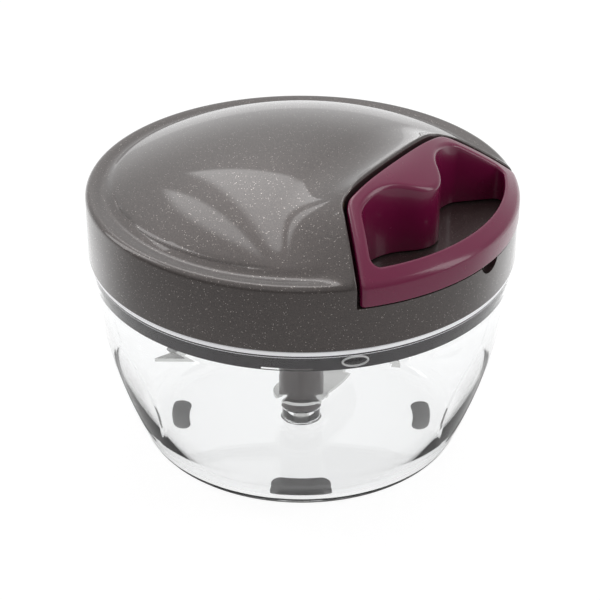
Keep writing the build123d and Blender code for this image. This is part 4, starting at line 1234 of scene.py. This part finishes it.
def offset_rows(loop, distances, into_left):
    """Copies of a closed loop, each moved sideways by a distance."""
    points = numpy.array(loop)
    run = numpy.roll(points, -1, axis=0) - numpy.roll(points, 1, axis=0)
    run /= numpy.hypot(run[:, 0], run[:, 1])[:, None]
    side = numpy.stack([-run[:, 1], run[:, 0]], axis=1) * (1 if into_left else -1)
    return [points + side * distance for distance in distances]


def turns_left(loop):
    """Whether a closed loop runs against the clock."""
    points = numpy.array(loop)
    after = numpy.roll(points, -1, axis=0)
    return float(numpy.sum(points[:, 0] * after[:, 1] - after[:, 0] * points[:, 1])) > 0


def slab(loops, top, bottom, top_round, foot_round, grain, foot_grain, foot_space):
    """A closed solid between a top height and a flat bottom: its outside loop first, then its holes."""
    shell = Shell()
    crowns, feet = [], []
    for number, loop in enumerate(loops):
        left = turns_left(loop) == (number == 0)
        crown_rows = offset_rows(loop, [top_round * (1 - cos(turn)) for turn in EDGE_TURNS], left)
        foot_rows = offset_rows(loop, [foot_round * (1 - cos(turn)) for turn in FOOT_TURNS], left)
        crown, foot = [], []
        for turn, row in zip(EDGE_TURNS, crown_rows):
            drop = top_round * (1 - sin(turn))
            crown.append(shell.row([(x, y, top(x, y) - drop) for x, y in row]))
        for turn, row in zip(FOOT_TURNS, foot_rows):
            foot.append(shell.row([(x, y, bottom + foot_round * (1 - sin(turn))) for x, y in row]))
        shell.strips(crown)
        shell.strip(crown[0], foot[0])
        shell.strips(foot)
        crowns.append(crown[-1])
        feet.append(foot[-1])
    limits = [limit(column) for column in zip(*loops[0]) for limit in (min, max)]
    shell.fill(crowns, top, square_grid(*limits, grain), CROWN_SPACE * grain)
    shell.fill(feet, lambda x, y: bottom, square_grid(*limits, foot_grain), foot_space)
    return shell


def handle_top(x, y):
    """Height of the handle's top, a little under the lid's skin."""
    return skin_height(x, y) - HANDLE_SINK


class CHOPPER_OT_handle(bpy.types.Operator):
    """Make the pull handle with its two-finger hole"""

    bl_idname = "chopper.handle"
    bl_label = "Pull handle"

    def execute(self, context):
        settings = context.scene.chopper_handle
        outlines = [handle_outline(HANDLE_GRAINS[0]), hole_outline(HANDLE_GRAINS[1])]
        rounds = (settings.edge_round / MM, settings.foot_round / MM)
        grains = (HANDLE_TOP_GRAIN, SLAB_FOOT_GRAIN, SLAB_FOOT_SPACE)
        shell = slab(outlines, handle_top, HANDLE_BOTTOM_Z, *rounds, *grains)
        handle = solid("handle", shell, "handle")
        start_x = HANDLE_INNER_X + FERRULE_INSET
        end_x = start_x + FERRULE_LENGTH + FERRULE_GAP
        under_z = HANDLE_BOTTOM_Z - SLOT_OVER
        slot = block((start_x - FERRULE_GAP, -SLOT_HALF, under_z), (end_x, SLOT_HALF, CORD_Z + SLOT_HALF))
        cut(handle, "ferrule slot", slot)
        open_x = HANDLE_INNER_X - SLOT_OVER
        channel = block((open_x, -CHANNEL_HALF, under_z), (start_x, CHANNEL_HALF, CORD_Z + CHANNEL_HALF))
        cut(handle, "cord channel", channel)
        smooth(handle, 38)
        place_piece(handle, "handle", "handle_plastic", "pull_handle")
        return {"FINISHED"}


# ==== patterns and shapes made by Geometry Nodes
def new_tree(name, values):
    """A Geometry Nodes tree with inputs for a geometry, named values and a material."""
    tree = bpy.data.node_groups.new(name, "GeometryNodeTree")
    sockets = tree.interface
    sockets.new_socket("Geometry", in_out="INPUT", socket_type="NodeSocketGeometry")
    for label, value in values.items():
        kind = "Int" if isinstance(value, int) else "Float"
        sockets.new_socket(label, in_out="INPUT", socket_type=f"NodeSocket{kind}").default_value = value
    sockets.new_socket("Material", in_out="INPUT", socket_type="NodeSocketMaterial")
    sockets.new_socket("Geometry", in_out="OUTPUT", socket_type="NodeSocketGeometry")
    graph = Graph(tree)
    entry = graph.node("NodeGroupInput").output.node
    return graph, {socket.name: Value(graph, socket) for socket in entry.outputs if socket.name}


def close_tree(graph, geometry, material):
    """Realize Instances, Set Material, output."""
    real = graph.node("GeometryNodeRealizeInstances", {}, {"Geometry": geometry})
    painted = graph.node("GeometryNodeSetMaterial", {}, {"Geometry": real, "Material": material})
    graph.node("NodeGroupOutput", {}, {"Geometry": painted})
    return graph.tree


def grown(name, source, make_tree, values, material):
    """The plain mesh that a tree makes of a source object, as a new piece; the source goes."""
    modifier = source.modifiers.new(name, "NODES")
    modifier.node_group = make_tree(values)
    inputs = {**values, "Material": shared_material(material)}
    for item in modifier.node_group.interface.items_tree:
        if item.in_out == "INPUT" and item.name in inputs:
            modifier[item.identifier] = inputs[item.name]
    mesh = settled_mesh(source)
    source.modifiers.remove(modifier)
    if not mesh.polygons:
        raise RuntimeError(f"{name} came out empty")
    bpy.data.objects.remove(source)
    return link(name, mesh)


def bowl_tree(values):
    """The bowl: its profile turned about the axis, with leaf hollows and a dimple by rule."""
    graph, take = new_tree("turned bowl", values)
    size = {"Size X": 1.0, "Size Y": 1.0, "Vertices X": take["Columns"] + 1, "Vertices Y": take["Rows"]}
    grid = graph.node("GeometryNodeMeshGrid", {}, size)
    place = graph.node("GeometryNodeInputPosition")
    across, along = graph.axes(place, "XY")
    row = ((along + 0.5) * (take["Rows"] - 1)).rounded()
    settings = {"data_type": "FLOAT_VECTOR", "domain": "POINT"}
    sample = {"Geometry": take["Geometry"], "Value": place, "Index": row}
    radius, mark, level = graph.axes(graph.node("GeometryNodeSampleIndex", settings, sample))
    angle = (across + 0.5) * (2 * pi)

    def hollow(size, aside, up, turn):
        """1 inside an arc of a size about a middle, on one half of the bowl."""
        inside = (size - (aside * aside + up * up).root()).step(0.0, take["Soft edge"])
        return inside * turn.cosine().above(0.0)

    turn = angle - take["Front angle"]
    share = hollow(take["Dimple radius"], radius * turn.sine(), level - take["Dimple level"], turn)
    half_width = take["Grip width"] / 2
    half_height = take["Grip height"] / 2
    bend = (half_width * half_width + half_height * half_height) / take["Grip width"]
    up = level - take["Grip level"]
    for side, back in product((1, -1), (0, pi)):
        turn = angle - take["Front angle"] - take["Grip angle"] * side - back
        share = share.largest(hollow(bend, abs(radius * turn.sine()) + bend - half_width, up, turn))
    reach = radius - share * take["Grip depth"] * mark.above(0.5)
    parts = {"X": reach * angle.cosine(), "Y": reach * angle.sine(), "Z": level}
    target = graph.node("ShaderNodeCombineXYZ", {}, parts)
    turned = graph.node("GeometryNodeSetPosition", {}, {"Geometry": grid, "Position": target})
    whole = graph.node("GeometryNodeMergeByDistance", {}, {"Geometry": turned, "Distance": 0.002 * MM})
    return close_tree(graph, whole, take["Material"])


def copies_tree(values):
    """Copies of a geometry at even angles round the axis."""
    graph, take = new_tree("copies round the axis", values)
    index = graph.node("GeometryNodeInputIndex")
    turn = take["Start angle"] + index * (2 * pi) / take["Count"]
    spin = graph.node("ShaderNodeCombineXYZ", {}, {"Z": turn})
    points = graph.node("GeometryNodePoints", {}, {"Count": take["Count"]})
    inputs = {"Points": points, "Instance": take["Geometry"], "Rotation": spin}
    copies = graph.node("GeometryNodeInstanceOnPoints", {}, inputs)
    return close_tree(graph, copies, take["Material"])


# ==== bowl: rows are radii or drops where its outline has a point
PLAIN, HOLLOWED = 0, 1
BASE_ROWS = (0, 6, 14, 22, 30, 37)
FOOT_STEPS = 8
OUTSIDE_STEPS = 66
INSIDE_STEPS = 24
NECK_ROWS = (2.6, 0.3)
NECK_FILLET = 0.06
RIM_STEPS = 4
FLOOR_ROWS = (34, 24, 14, 6.5)
PIN_BOSS = ((6.1, 0.4), (6.0, 1), (6.0, 4.6), (5.6, 5), (2.55, 5), (2.52, -1.2), (0, -1.2))
# the band with the painted glow: its reach in from the neck and below the flange
GLOW_BAND_DEPTH = 0.6
GLOW_BAND_UNDER = 0.05
OVAL_SIDES = (64, 12)


def bend_through(first, middle, last, steps):
    """Points of the arc through three points, both ends included."""
    (ax, ay), (bx, by), (cx, cy) = first, middle, last
    d = 2 * (ax * (by - cy) + bx * (cy - ay) + cx * (ay - by))
    a2, b2, c2 = ax**2 + ay**2, bx**2 + by**2, cx**2 + cy**2
    centre_x = (a2 * (by - cy) + b2 * (cy - ay) + c2 * (ay - by)) / d
    centre_y = (a2 * (cx - bx) + b2 * (ax - cx) + c2 * (bx - ax)) / d
    centre = Vector((centre_x, centre_y))
    arm = Vector(first) - centre
    sweep = arm.angle_signed(Vector(last) - centre)
    return [(centre + Matrix.Rotation(-sweep * k / steps, 2) @ arm)[:] for k in range(steps + 1)]


def foot_bend(base, shoulder):
    """Points of the arc that leaves a flat base level and ends at the shoulder."""
    run = shoulder[0] - base[0]
    rise = shoulder[1] - base[1]
    radius = (run**2 + rise**2) / (2 * rise)
    turns = [acos(1 - rise / radius) * k / FOOT_STEPS for k in range(FOOT_STEPS + 1)]
    return [(base[0] + radius * sin(turn), base[1] + radius * (1 - cos(turn))) for turn in turns]


def rim_bend(level, start):
    """Points round an edge of the flange."""
    turns = [start + k * pi / 2 / RIM_STEPS for k in range(RIM_STEPS + 1)]
    size = FLANGE_ROUND
    return [(FLANGE_RADIUS - size * (1 - cos(turn)), level + size * sin(turn)) for turn in turns]


def bowl_profile(wall):
    """Radius, height and rule of the bowl's half outline, from under the base round the rim to the inside."""
    belly_z = (SHOULDER_Z + NECK_Z) / 2
    shoulder = (SHOULDER_RADIUS, SHOULDER_Z)
    bore = NECK_RADIUS - wall
    inner_shoulder = (SHOULDER_RADIUS - wall, SHOULDER_Z + wall)
    foot = [(radius, BASE_Z) for radius in BASE_ROWS] + foot_bend((BASE_RADIUS, BASE_Z), shoulder)
    outside = bend_through(shoulder, (BELLY_RADIUS, belly_z), (NECK_RADIUS, NECK_Z), OUTSIDE_STEPS)[1:]
    rest = [(NECK_RADIUS, FLANGE_BOTTOM_Z - drop) for drop in NECK_ROWS]
    rest += [(NECK_RADIUS + NECK_FILLET, FLANGE_BOTTOM_Z - NECK_FILLET)]
    rest += [(NECK_RADIUS + 2 * NECK_FILLET, FLANGE_BOTTOM_Z)]
    rest += rim_bend(FLANGE_BOTTOM_Z + FLANGE_ROUND, -pi / 2) + [(FLANGE_RADIUS, GLOW_BAND_Z)]
    rest += rim_bend(FLANGE_TOP_Z - FLANGE_ROUND, 0)
    rest += [(bore + FLANGE_ROUND, FLANGE_TOP_Z), (bore, FLANGE_TOP_Z - FLANGE_ROUND), (bore, NECK_Z)]
    ledge = (bore - RING_LEDGE, NECK_Z)
    rest += bend_through(ledge, (BELLY_RADIUS - wall, belly_z), inner_shoulder, INSIDE_STEPS)
    rest += foot_bend((BASE_RADIUS - wall / 2, FLOOR_Z), inner_shoulder)[-2::-1]
    rest += [(radius, FLOOR_Z) for radius in FLOOR_ROWS]
    rest += [(radius, FLOOR_Z + rise) for radius, rise in PIN_BOSS]
    runs = ((foot, PLAIN), (outside, HOLLOWED), (rest, PLAIN))
    return [(radius, z, rule) for run, rule in runs for radius, z in run]


def oval_ring():
    """Raised oval ring under the flange, at the right of the front."""
    shell = Shell()
    rows = []
    for turn in even_turns(OVAL_SIDES[0]):
        row = []
        for tip in even_turns(OVAL_SIDES[1]):
            reach = OVAL_BEAD[0] * cos(tip)
            radius = NECK_RADIUS + OVAL_BEAD[1] * sin(tip)
            place = FRONT_ANGLE + OVAL_ANGLE + (OVAL_HALF[0] + reach) * cos(turn) / NECK_RADIUS
            up = (OVAL_HALF[1] + reach) * sin(turn)
            row.append((radius * cos(place), radius * sin(place), LID_EDGE_Z - OVAL_DROP + up))
        rows.append(shell.row(row))
    shell.strips(rows + rows[:1])
    return shell


class CHOPPER_OT_bowl(bpy.types.Operator):
    """Make the clear bowl with its leaf-shaped hollows"""

    bl_idname = "chopper.bowl"
    bl_label = "Bowl"

    def execute(self, context):
        settings = context.scene.chopper_bowl
        profile = bowl_profile(settings.wall / MM)
        edges = [(k, k + 1) for k in range(len(profile) - 1)]
        line = bpy.data.meshes.new("bowl profile")
        line.from_pydata([(radius * MM, rule, z * MM) for radius, z, rule in profile], edges, [])
        values = {
            "Rows": len(profile),
            "Columns": settings.columns,
            "Front angle": FRONT_ANGLE,
            "Grip angle": settings.grip_angle,
            "Grip width": settings.grip_width,
            "Grip height": settings.grip_height,
            "Grip depth": settings.grip_depth,
            "Grip level": (LID_EDGE_Z - GRIP_DROP) * MM,
            "Dimple radius": settings.dimple_radius,
            "Dimple level": (LID_EDGE_Z - DIMPLE_DROP) * MM,
            "Soft edge": HOLLOW_EDGE * MM,
        }
        bowl = grown("bowl_body", link("bowl profile", line), bowl_tree, values, "clear")
        outward(bowl)
        join(bowl, solid("oval ring", oval_ring(), "clear"))
        # faces of the flange's rim band get the material with the painted glow
        bowl.data.materials.append(shared_material("rim"))
        for face in bowl.data.polygons:
            x, y, z = face.center / MM
            low_edge = FLANGE_BOTTOM_Z - GLOW_BAND_UNDER < z < FLANGE_BOTTOM_Z + FLANGE_ROUND
            if (low_edge or z > GLOW_BAND_Z) and hypot(x, y) > NECK_RADIUS - GLOW_BAND_DEPTH:
                face.material_index = len(bowl.data.materials) - 1
        smooth(bowl, 40)
        place_piece(bowl, "bowl", "clear_plastic", "bowl")
        return {"FINISHED"}


# ==== pads: grains of side, caps and whole outline, roundings of top and foot, then their fill
PAD_COUNT = 4
PAD_GRAINS = (0.5, 0.4, 0.45)
PAD_ROUNDS = (0.15, 0.5)
PAD_FILL = (1.2, 2.5, 0.8)


class CHOPPER_OT_pads(bpy.types.Operator):
    """Make the rubber pads under the bowl"""

    bl_idname = "chopper.pads"
    bl_label = "Foot pads"

    def execute(self, context):
        radius, half = BASE_RADIUS - PAD_INSET, PAD_HALF_SPAN
        side_grain, cap_grain, grain = PAD_GRAINS
        tip = (radius * cos(half), radius * sin(half))
        line = arc((0, 0), radius + PAD_HALF_WIDTH, -half, half, side_grain)
        line += arc(tip, PAD_HALF_WIDTH, half, half + pi, cap_grain)[1:]
        line += arc((0, 0), radius - PAD_HALF_WIDTH, half, -half, side_grain)[1:]
        line += arc((tip[0], -tip[1]), PAD_HALF_WIDTH, pi - half, 2 * pi - half, cap_grain)[1:-1]
        height = high("foot_pads", 2)
        pad = slab([resampled(line, grain, True)], lambda x, y: height, 0.0, *PAD_ROUNDS, *PAD_FILL)
        values = {"Count": PAD_COUNT, "Start angle": FRONT_ANGLE}
        pads = grown("rubber_pads", solid("one pad", pad, "pads"), copies_tree, values, "pads")
        smooth(pads, 40)
        place_piece(pads, "bowl", "pad_rubber", "foot_pads")
        return {"FINISHED"}


# ==== screws: outlines as radius and height, from the lowest point of the head
SCREW_SIDES = 40
SCREW_HEAD = ((0, 0), (1.2, 0), (1.9, 0.18), (2.35, 0.5), (2.58, 1.0))
HEAD_EASE = (0.08, 0.05)
THREAD_RADII = (0.95, 1.2)
THREAD_PITCH = 0.6
THREAD_WIDTH = 0.5
THREAD_START = 2.2
THREAD_END = 1.2
SCREW_TIP = (0.5, 0.2)
RECESS_HALF = (1.35, 0.28)
RECESS_OVER = 0.5


def screw_shell(head_z, tip_z):
    """One pan-head screw, its head down, turned about its own axis."""
    root, crest = THREAD_RADII
    head_radius = SCREW_HEAD[-1][0]
    profile = [(radius, head_z + rise) for radius, rise in SCREW_HEAD]
    profile += [(head_radius, PLATE_Z - HEAD_EASE[1]), (head_radius - HEAD_EASE[0], PLATE_Z)]
    profile += [(crest, PLATE_Z)]
    z = PLATE_Z + THREAD_START
    while z < tip_z - THREAD_END:
        profile += [(root, z), (crest, z + THREAD_WIDTH / 2), (root, z + THREAD_WIDTH)]
        z += THREAD_PITCH
    profile += [(SCREW_TIP[0], tip_z - SCREW_TIP[1])]
    shell = Shell()
    turns = even_turns(SCREW_SIDES)
    rows = [
        shell.row([(SCREW_CIRCLE + radius * cos(turn), radius * sin(turn), z) for turn in turns])
        for radius, z in profile[1:]
    ]
    shell.strips(rows)
    ends = shell.row([(SCREW_CIRCLE, 0, head_z), (SCREW_CIRCLE, 0, tip_z)])
    for end, row in zip(ends, (rows[0], rows[-1])):
        shell.faces += [(row[k], row[(k + 1) % SCREW_SIDES], end) for k in range(SCREW_SIDES)]
    return shell


class CHOPPER_OT_screws(bpy.types.Operator):
    """Make the pan-head screws that hold the base plate"""

    bl_idname = "chopper.screws"
    bl_label = "Screws"

    def execute(self, context):
        settings = context.scene.chopper_drive
        head_z = low("lid_screws", 2)
        screw = solid("one screw", screw_shell(head_z, high("lid_screws", 2)), "screws")
        top = head_z + settings.recess_depth / MM
        for half_x, half_y in (RECESS_HALF, RECESS_HALF[::-1]):
            corner = (SCREW_CIRCLE - half_x, -half_y, head_z - RECESS_OVER)
            cut(screw, "recess", block(corner, (SCREW_CIRCLE + half_x, half_y, top)))
        values = {"Count": settings.screw_count, "Start angle": SCREW_START}
        screws = grown("base_screws", screw, copies_tree, values, "screws")
        smooth(screws, 30)
        place_piece(screws, "lid", "screw_steel", "lid_screws")
        return {"FINISHED"}


# ==== pull cord
CORD_SIDES = 24
CORD_STEPS = 64
BRAID_STRANDS = 6
BRAID_PITCH = 1.6
CORD_RUN = 9.2
CORD_CORNER_INSET = 3.9
CORD_GUIDE_INSET = 0.8
CORD_END_REACH = 10.0


def cord_line():
    """Points in metres along the cord's middle, from the spool through the eyelet to the handle."""
    corner_x = DOCK_BACK_X - CORD_CORNER_INSET
    leave = acos(SPOOL_CORD_RADIUS / corner_x)
    x = SPOOL_CORD_RADIUS * cos(leave) + CORD_RUN * sin(leave)
    y = -SPOOL_CORD_RADIUS * sin(leave) + CORD_RUN * cos(leave)
    route = [(x, y), (corner_x, 0), (DOCK_BACK_X - CORD_GUIDE_INSET, 0), (HANDLE_INNER_X + CORD_END_REACH, 0)]
    curve = bpy.data.curves.new("cord line", "CURVE")
    curve.dimensions = "3D"
    curve.resolution_u = CORD_STEPS
    spline = curve.splines.new("NURBS")
    spline.points.add(len(route) - 1)
    for point, (x, y) in zip(spline.points, route):
        point.co = (x * MM, y * MM, CORD_Z * MM, 1)
    spline.order_u = 3
    spline.use_endpoint_u = True
    holder = link("cord line", curve)
    mesh = settled_mesh(holder)
    line = [vertex.co.copy() for vertex in mesh.vertices]
    bpy.data.objects.remove(holder)
    bpy.data.meshes.remove(mesh)
    return line


class CHOPPER_OT_pull_cord(bpy.types.Operator):
    """Make the stretch of cord between the spool and the handle"""

    bl_idname = "chopper.pull_cord"
    bl_label = "Pull cord"

    def execute(self, context):
        line = cord_line()
        shell = Shell()
        rows, marks, corners = [], [], []
        up = Vector((0, 0, 1))
        run = 0.0
        for k, point in enumerate(line):
            ahead = (line[min(k + 1, len(line) - 1)] - line[max(k - 1, 0)]).normalized()
            side = ahead.cross(up).normalized()
            run += (point - line[k - 1]).length / MM if k else 0.0
            marks.append(run / BRAID_PITCH)
            arms = [side * cos(turn) + up * sin(turn) for turn in even_turns(CORD_SIDES)]
            rows.append(shell.row([point / MM + CORD_RADIUS * arm for arm in arms]))
        shell.strips(rows)
        strands = [k * BRAID_STRANDS / CORD_SIDES for k in range(CORD_SIDES + 1)]
        for near, far in zip(marks, marks[1:]):
            for a, b in zip(strands, strands[1:]):
                corners += [(near, a), (near, b), (far, b), (far, a)]
        shell.faces += [tuple(rows[0]), tuple(reversed(rows[-1]))]
        corners += [(0, 0)] * (2 * CORD_SIDES)
        cord = mesh_object("cord", shell, "cord")
        layer = cord.data.uv_layers.new(name="UVMap")
        for loop, corner in zip(layer.data, corners):
            loop.uv = corner
        smooth(cord, 60)
        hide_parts("pull_cord")
        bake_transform(cord)
        return {"FINISHED"}


class CHOPPER_OT_frame_finishes(bpy.types.Operator):
    """Give the frame's own pieces their finishes"""

    bl_idname = "chopper.frame_finishes"
    bl_label = "Finishes of the drive"

    def execute(self, context):
        dress("base", "lid_base")
        dress("ring", "collar_ring")
        dress("seal", "lid_seal")
        dress("stem", "blade_stem")
        dress("blade", "lower_blade", "middle_blade", "upper_blade")
        dress("steel", "bowl_pin", "spool_axle", "axle_washer", "pawl_pins")
        dress("screws", "axle_screw")
        dress("acetal", "spool", "drive_hub", "pawl_1", "pawl_2")
        dress("spring", "spring_cover", "recoil_spring")
        dress("brass", "cord_eyelet", "cord_ferrule")
        dress("winding", "cord_winding")
        return {"FINISHED"}


# ==== studio, in metres
AIM = (-0.4 * MM, -0.3 * MM, 44.5 * MM)
LAMP_TARGET = (0, 0, 0.08)
OVERHEAD_PLACE, OVERHEAD_SIZE = (-0.10, 0.30, 0.95), (0.8, 0.5)
LEFT_PLACE, RIGHT_PLACE, SIDE_SIZE = (-0.75, -0.25, 0.55), (0.75, 0.35, 0.5), (0.3, 0.7)
CLIP_START = 0.01
FLOOR_HALF = 4
FLOOR_LIGHT = 1.14
FLOOR_COLOUR = (0.82, 0.82, 0.82, 1.0)
SEEN_SHARE = 0.82
MIRRORED_NEAR = 0.04
MIRRORED_FAR = 0.9
MIRRORED_EDGE = (-0.03, 0.08)

# ---- brightness of the room's parts
DIFFUSE_LIGHT = 0.38
ROOM_LIGHT = 0.27
SOFTBOX_LIGHT = 2.3
HORIZON_LIGHT = 0.25
BEHIND_LIGHT = 0.32
CEILING_LIGHT = 0.68
CEILING_FALL = 0.5

# ---- where they lie, as parts of a direction
HORIZON_BEHIND = (0.55, 0.95)
HORIZON_HEIGHT = (0.12, 0.5)
CEILING_HEIGHT = (0.15, 0.8)
CEILING_ASIDE = (-0.15, 0.4)
BEHIND_EDGE = (-0.2, 0.8)
SOFTBOX_LEAN = (0.385, 0.923)
STRIP_MIDDLE = 0.375
STRIP_BOW = 1.1
STRIP_SPAN = (-0.1, 0.5)
STRIP_END = (-0.03, -0.018)
STRIP_END_LEAN = 0.09
PANEL_SPAN = (-0.012, 0.125)
PANEL_REACH = (-0.535, -0.12)
PANEL_LEAN = 1.5


def ray(graph, kind):
    """1 for rays of a kind."""
    return graph.node("ShaderNodeLightPath", {}, (), f"Is {kind} Ray")


def band(value, start, end, soft=0.012):
    """1 between two limits, 0 outside."""
    return value.step(start - soft, start + soft) * (1 - value.step(end - soft, end + soft))


def add_lamp(name, place, size, power, mirrored=True):
    """An area lamp that shines at the object."""
    lamp = bpy.data.lights.new(name, "AREA")
    lamp.shape = "RECTANGLE"
    lamp.size, lamp.size_y = size
    lamp.energy = power
    holder = link(name, lamp)
    holder.location = place
    holder.rotation_euler = (Vector(LAMP_TARGET) - Vector(place)).to_track_quat("-Z", "Y").to_euler()
    holder.visible_glossy = mirrored


def add_floor(azimuth):
    """A white floor; reflections show it darker in front of the object than behind it."""
    mesh = bpy.data.meshes.new("floor")
    corners = [(x * FLOOR_HALF, y * FLOOR_HALF, 0) for x, y in ((-1, -1), (1, -1), (1, 1), (-1, 1))]
    mesh.from_pydata(corners, [], [(0, 1, 2, 3)])
    floor = link("floor", mesh)
    material, graph, place = new_material("floor")
    lit = graph.node("ShaderNodeBsdfDiffuse", {}, {"Color": FLOOR_COLOUR})
    glow = graph.node("ShaderNodeEmission", {}, {"Color": (1.0, 1.0, 1.0, 1.0), "Strength": FLOOR_LIGHT})
    x, y = graph.axes(place, "XY")
    beyond = y * cos(azimuth) - x * sin(azimuth)
    mirrored = ray(graph, "Glossy") * (MIRRORED_NEAR + beyond.step(*MIRRORED_EDGE) * MIRRORED_FAR)
    share = (ray(graph, "Camera").largest(ray(graph, "Transmission")) * SEEN_SHARE).largest(mirrored)
    surface = graph.node("ShaderNodeMixShader", {}, (share, lit, glow))
    graph.node("ShaderNodeOutputMaterial", {}, {"Surface": surface})
    mesh.materials.append(material)


def softboxes(behind, aside, up):
    """Two soft boxes overhead: a bowed strip and a slanting panel."""
    height = (up + 1.0).largest(0.05)
    u, v = behind / height, aside / height
    first, second = SOFTBOX_LEAN
    across = u * first + v * second
    along = v * first - u * second
    bow = along + STRIP_MIDDLE
    end = (across - along * STRIP_END_LEAN).step(*STRIP_END)
    strip = band(across - bow * bow * STRIP_BOW, *STRIP_SPAN) * (1 - end)
    panel = band(across, *PANEL_SPAN) * band(along - across * PANEL_LEAN, *PANEL_REACH)
    return strip.largest(panel) * up.above(0.0)


def add_world(azimuth):
    """A white background, even light all round, and a room that only mirrored rays see."""
    world = bpy.data.worlds.new("studio")
    world.use_nodes = True
    world.node_tree.nodes.clear()
    graph = Graph(world.node_tree)
    x, y, up = graph.axes(graph.node("ShaderNodeTexCoord", {}, (), "Generated"))
    behind = y * cos(azimuth) - x * sin(azimuth)
    aside = x * cos(azimuth) + y * sin(azimuth)
    horizon = behind.step(*HORIZON_BEHIND) * (1 - abs(up).step(*HORIZON_HEIGHT))
    ceiling = up.step(*CEILING_HEIGHT) * (CEILING_LIGHT - aside.step(*CEILING_ASIDE) * CEILING_FALL)
    room = softboxes(behind, aside, up) * SOFTBOX_LIGHT + horizon * HORIZON_LIGHT
    room = room + behind.step(*BEHIND_EDGE) * BEHIND_LIGHT + ceiling + ROOM_LIGHT
    seen = ray(graph, "Camera").largest(ray(graph, "Transmission"))
    glossy = ray(graph, "Glossy") * (1 - seen)
    strength = seen + glossy * room + (1 - seen) * (1 - ray(graph, "Glossy")) * DIFFUSE_LIGHT
    background = graph.node("ShaderNodeBackground", {}, {"Color": (1.0, 1.0, 1.0, 1.0), "Strength": strength})
    graph.node("ShaderNodeOutputWorld", {}, {"Surface": background})
    bpy.context.scene.world = world


def add_camera(settings):
    """The camera, turned to its aim."""
    scene = bpy.context.scene
    lens = bpy.data.cameras.new("camera")
    lens.lens = settings.focal_length
    lens.clip_start = CLIP_START
    level = cos(settings.elevation)
    towards = Vector((level * sin(settings.azimuth), -level * cos(settings.azimuth), sin(settings.elevation)))
    turn = towards.to_track_quat("Z", "Y").to_matrix() @ Matrix.Rotation(settings.roll, 3, "Z")
    camera = link("camera", lens)
    camera.matrix_world = Matrix.Translation(Vector(AIM) + towards * settings.distance) @ turn.to_4x4()
    scene.camera = camera
    scene.view_settings.view_transform = "Standard"


class CHOPPER_OT_studio(bpy.types.Operator):
    """Set up the floor, the lamps and the camera"""

    bl_idname = "chopper.studio"
    bl_label = "Studio"

    def execute(self, context):
        settings = context.scene.chopper_studio
        add_floor(settings.azimuth)
        add_world(settings.azimuth)
        add_lamp("overhead", OVERHEAD_PLACE, OVERHEAD_SIZE, settings.key_power, False)
        add_lamp("left", LEFT_PLACE, SIDE_SIZE, settings.side_power)
        add_lamp("right", RIGHT_PLACE, SIDE_SIZE, settings.side_power)
        add_camera(settings)
        return {"FINISHED"}


class CHOPPER_PT_sidebar(bpy.types.Panel):
    """Lists the pieces and their settings"""

    bl_idname = "CHOPPER_PT_sidebar"
    bl_label = "Food chopper"
    bl_space_type = "VIEW_3D"
    bl_region_type = "UI"
    bl_category = "Chopper"

    def draw(self, context):
        for name, group in GROUPS.items():
            box = self.layout.box()
            for key in group.__annotations__:
                box.prop(getattr(context.scene, name), key)
        for operator in OPERATORS:
            self.layout.operator(operator.bl_idname)


OPERATORS = (
    CHOPPER_OT_frame_finishes,
    CHOPPER_OT_bowl,
    CHOPPER_OT_pads,
    CHOPPER_OT_lid_cover,
    CHOPPER_OT_handle,
    CHOPPER_OT_pull_cord,
    CHOPPER_OT_screws,
    CHOPPER_OT_studio,
)


def register():
    for group in GROUPS.values():
        bpy.utils.register_class(group)
    for name, group in GROUPS.items():
        setattr(bpy.types.Scene, name, PointerProperty(type=group))
    for operator in OPERATORS:
        bpy.utils.register_class(operator)
    bpy.utils.register_class(CHOPPER_PT_sidebar)


def unregister():
    bpy.utils.unregister_class(CHOPPER_PT_sidebar)
    for operator in reversed(OPERATORS):
        bpy.utils.unregister_class(operator)
    for name in GROUPS:
        delattr(bpy.types.Scene, name)
    for group in GROUPS.values():
        bpy.utils.unregister_class(group)


def main():
    register()
    for operator in OPERATORS:
        section, action = operator.bl_idname.split(".")
        getattr(getattr(bpy.ops, section), action)()


if __name__ == "__main__":
    main()
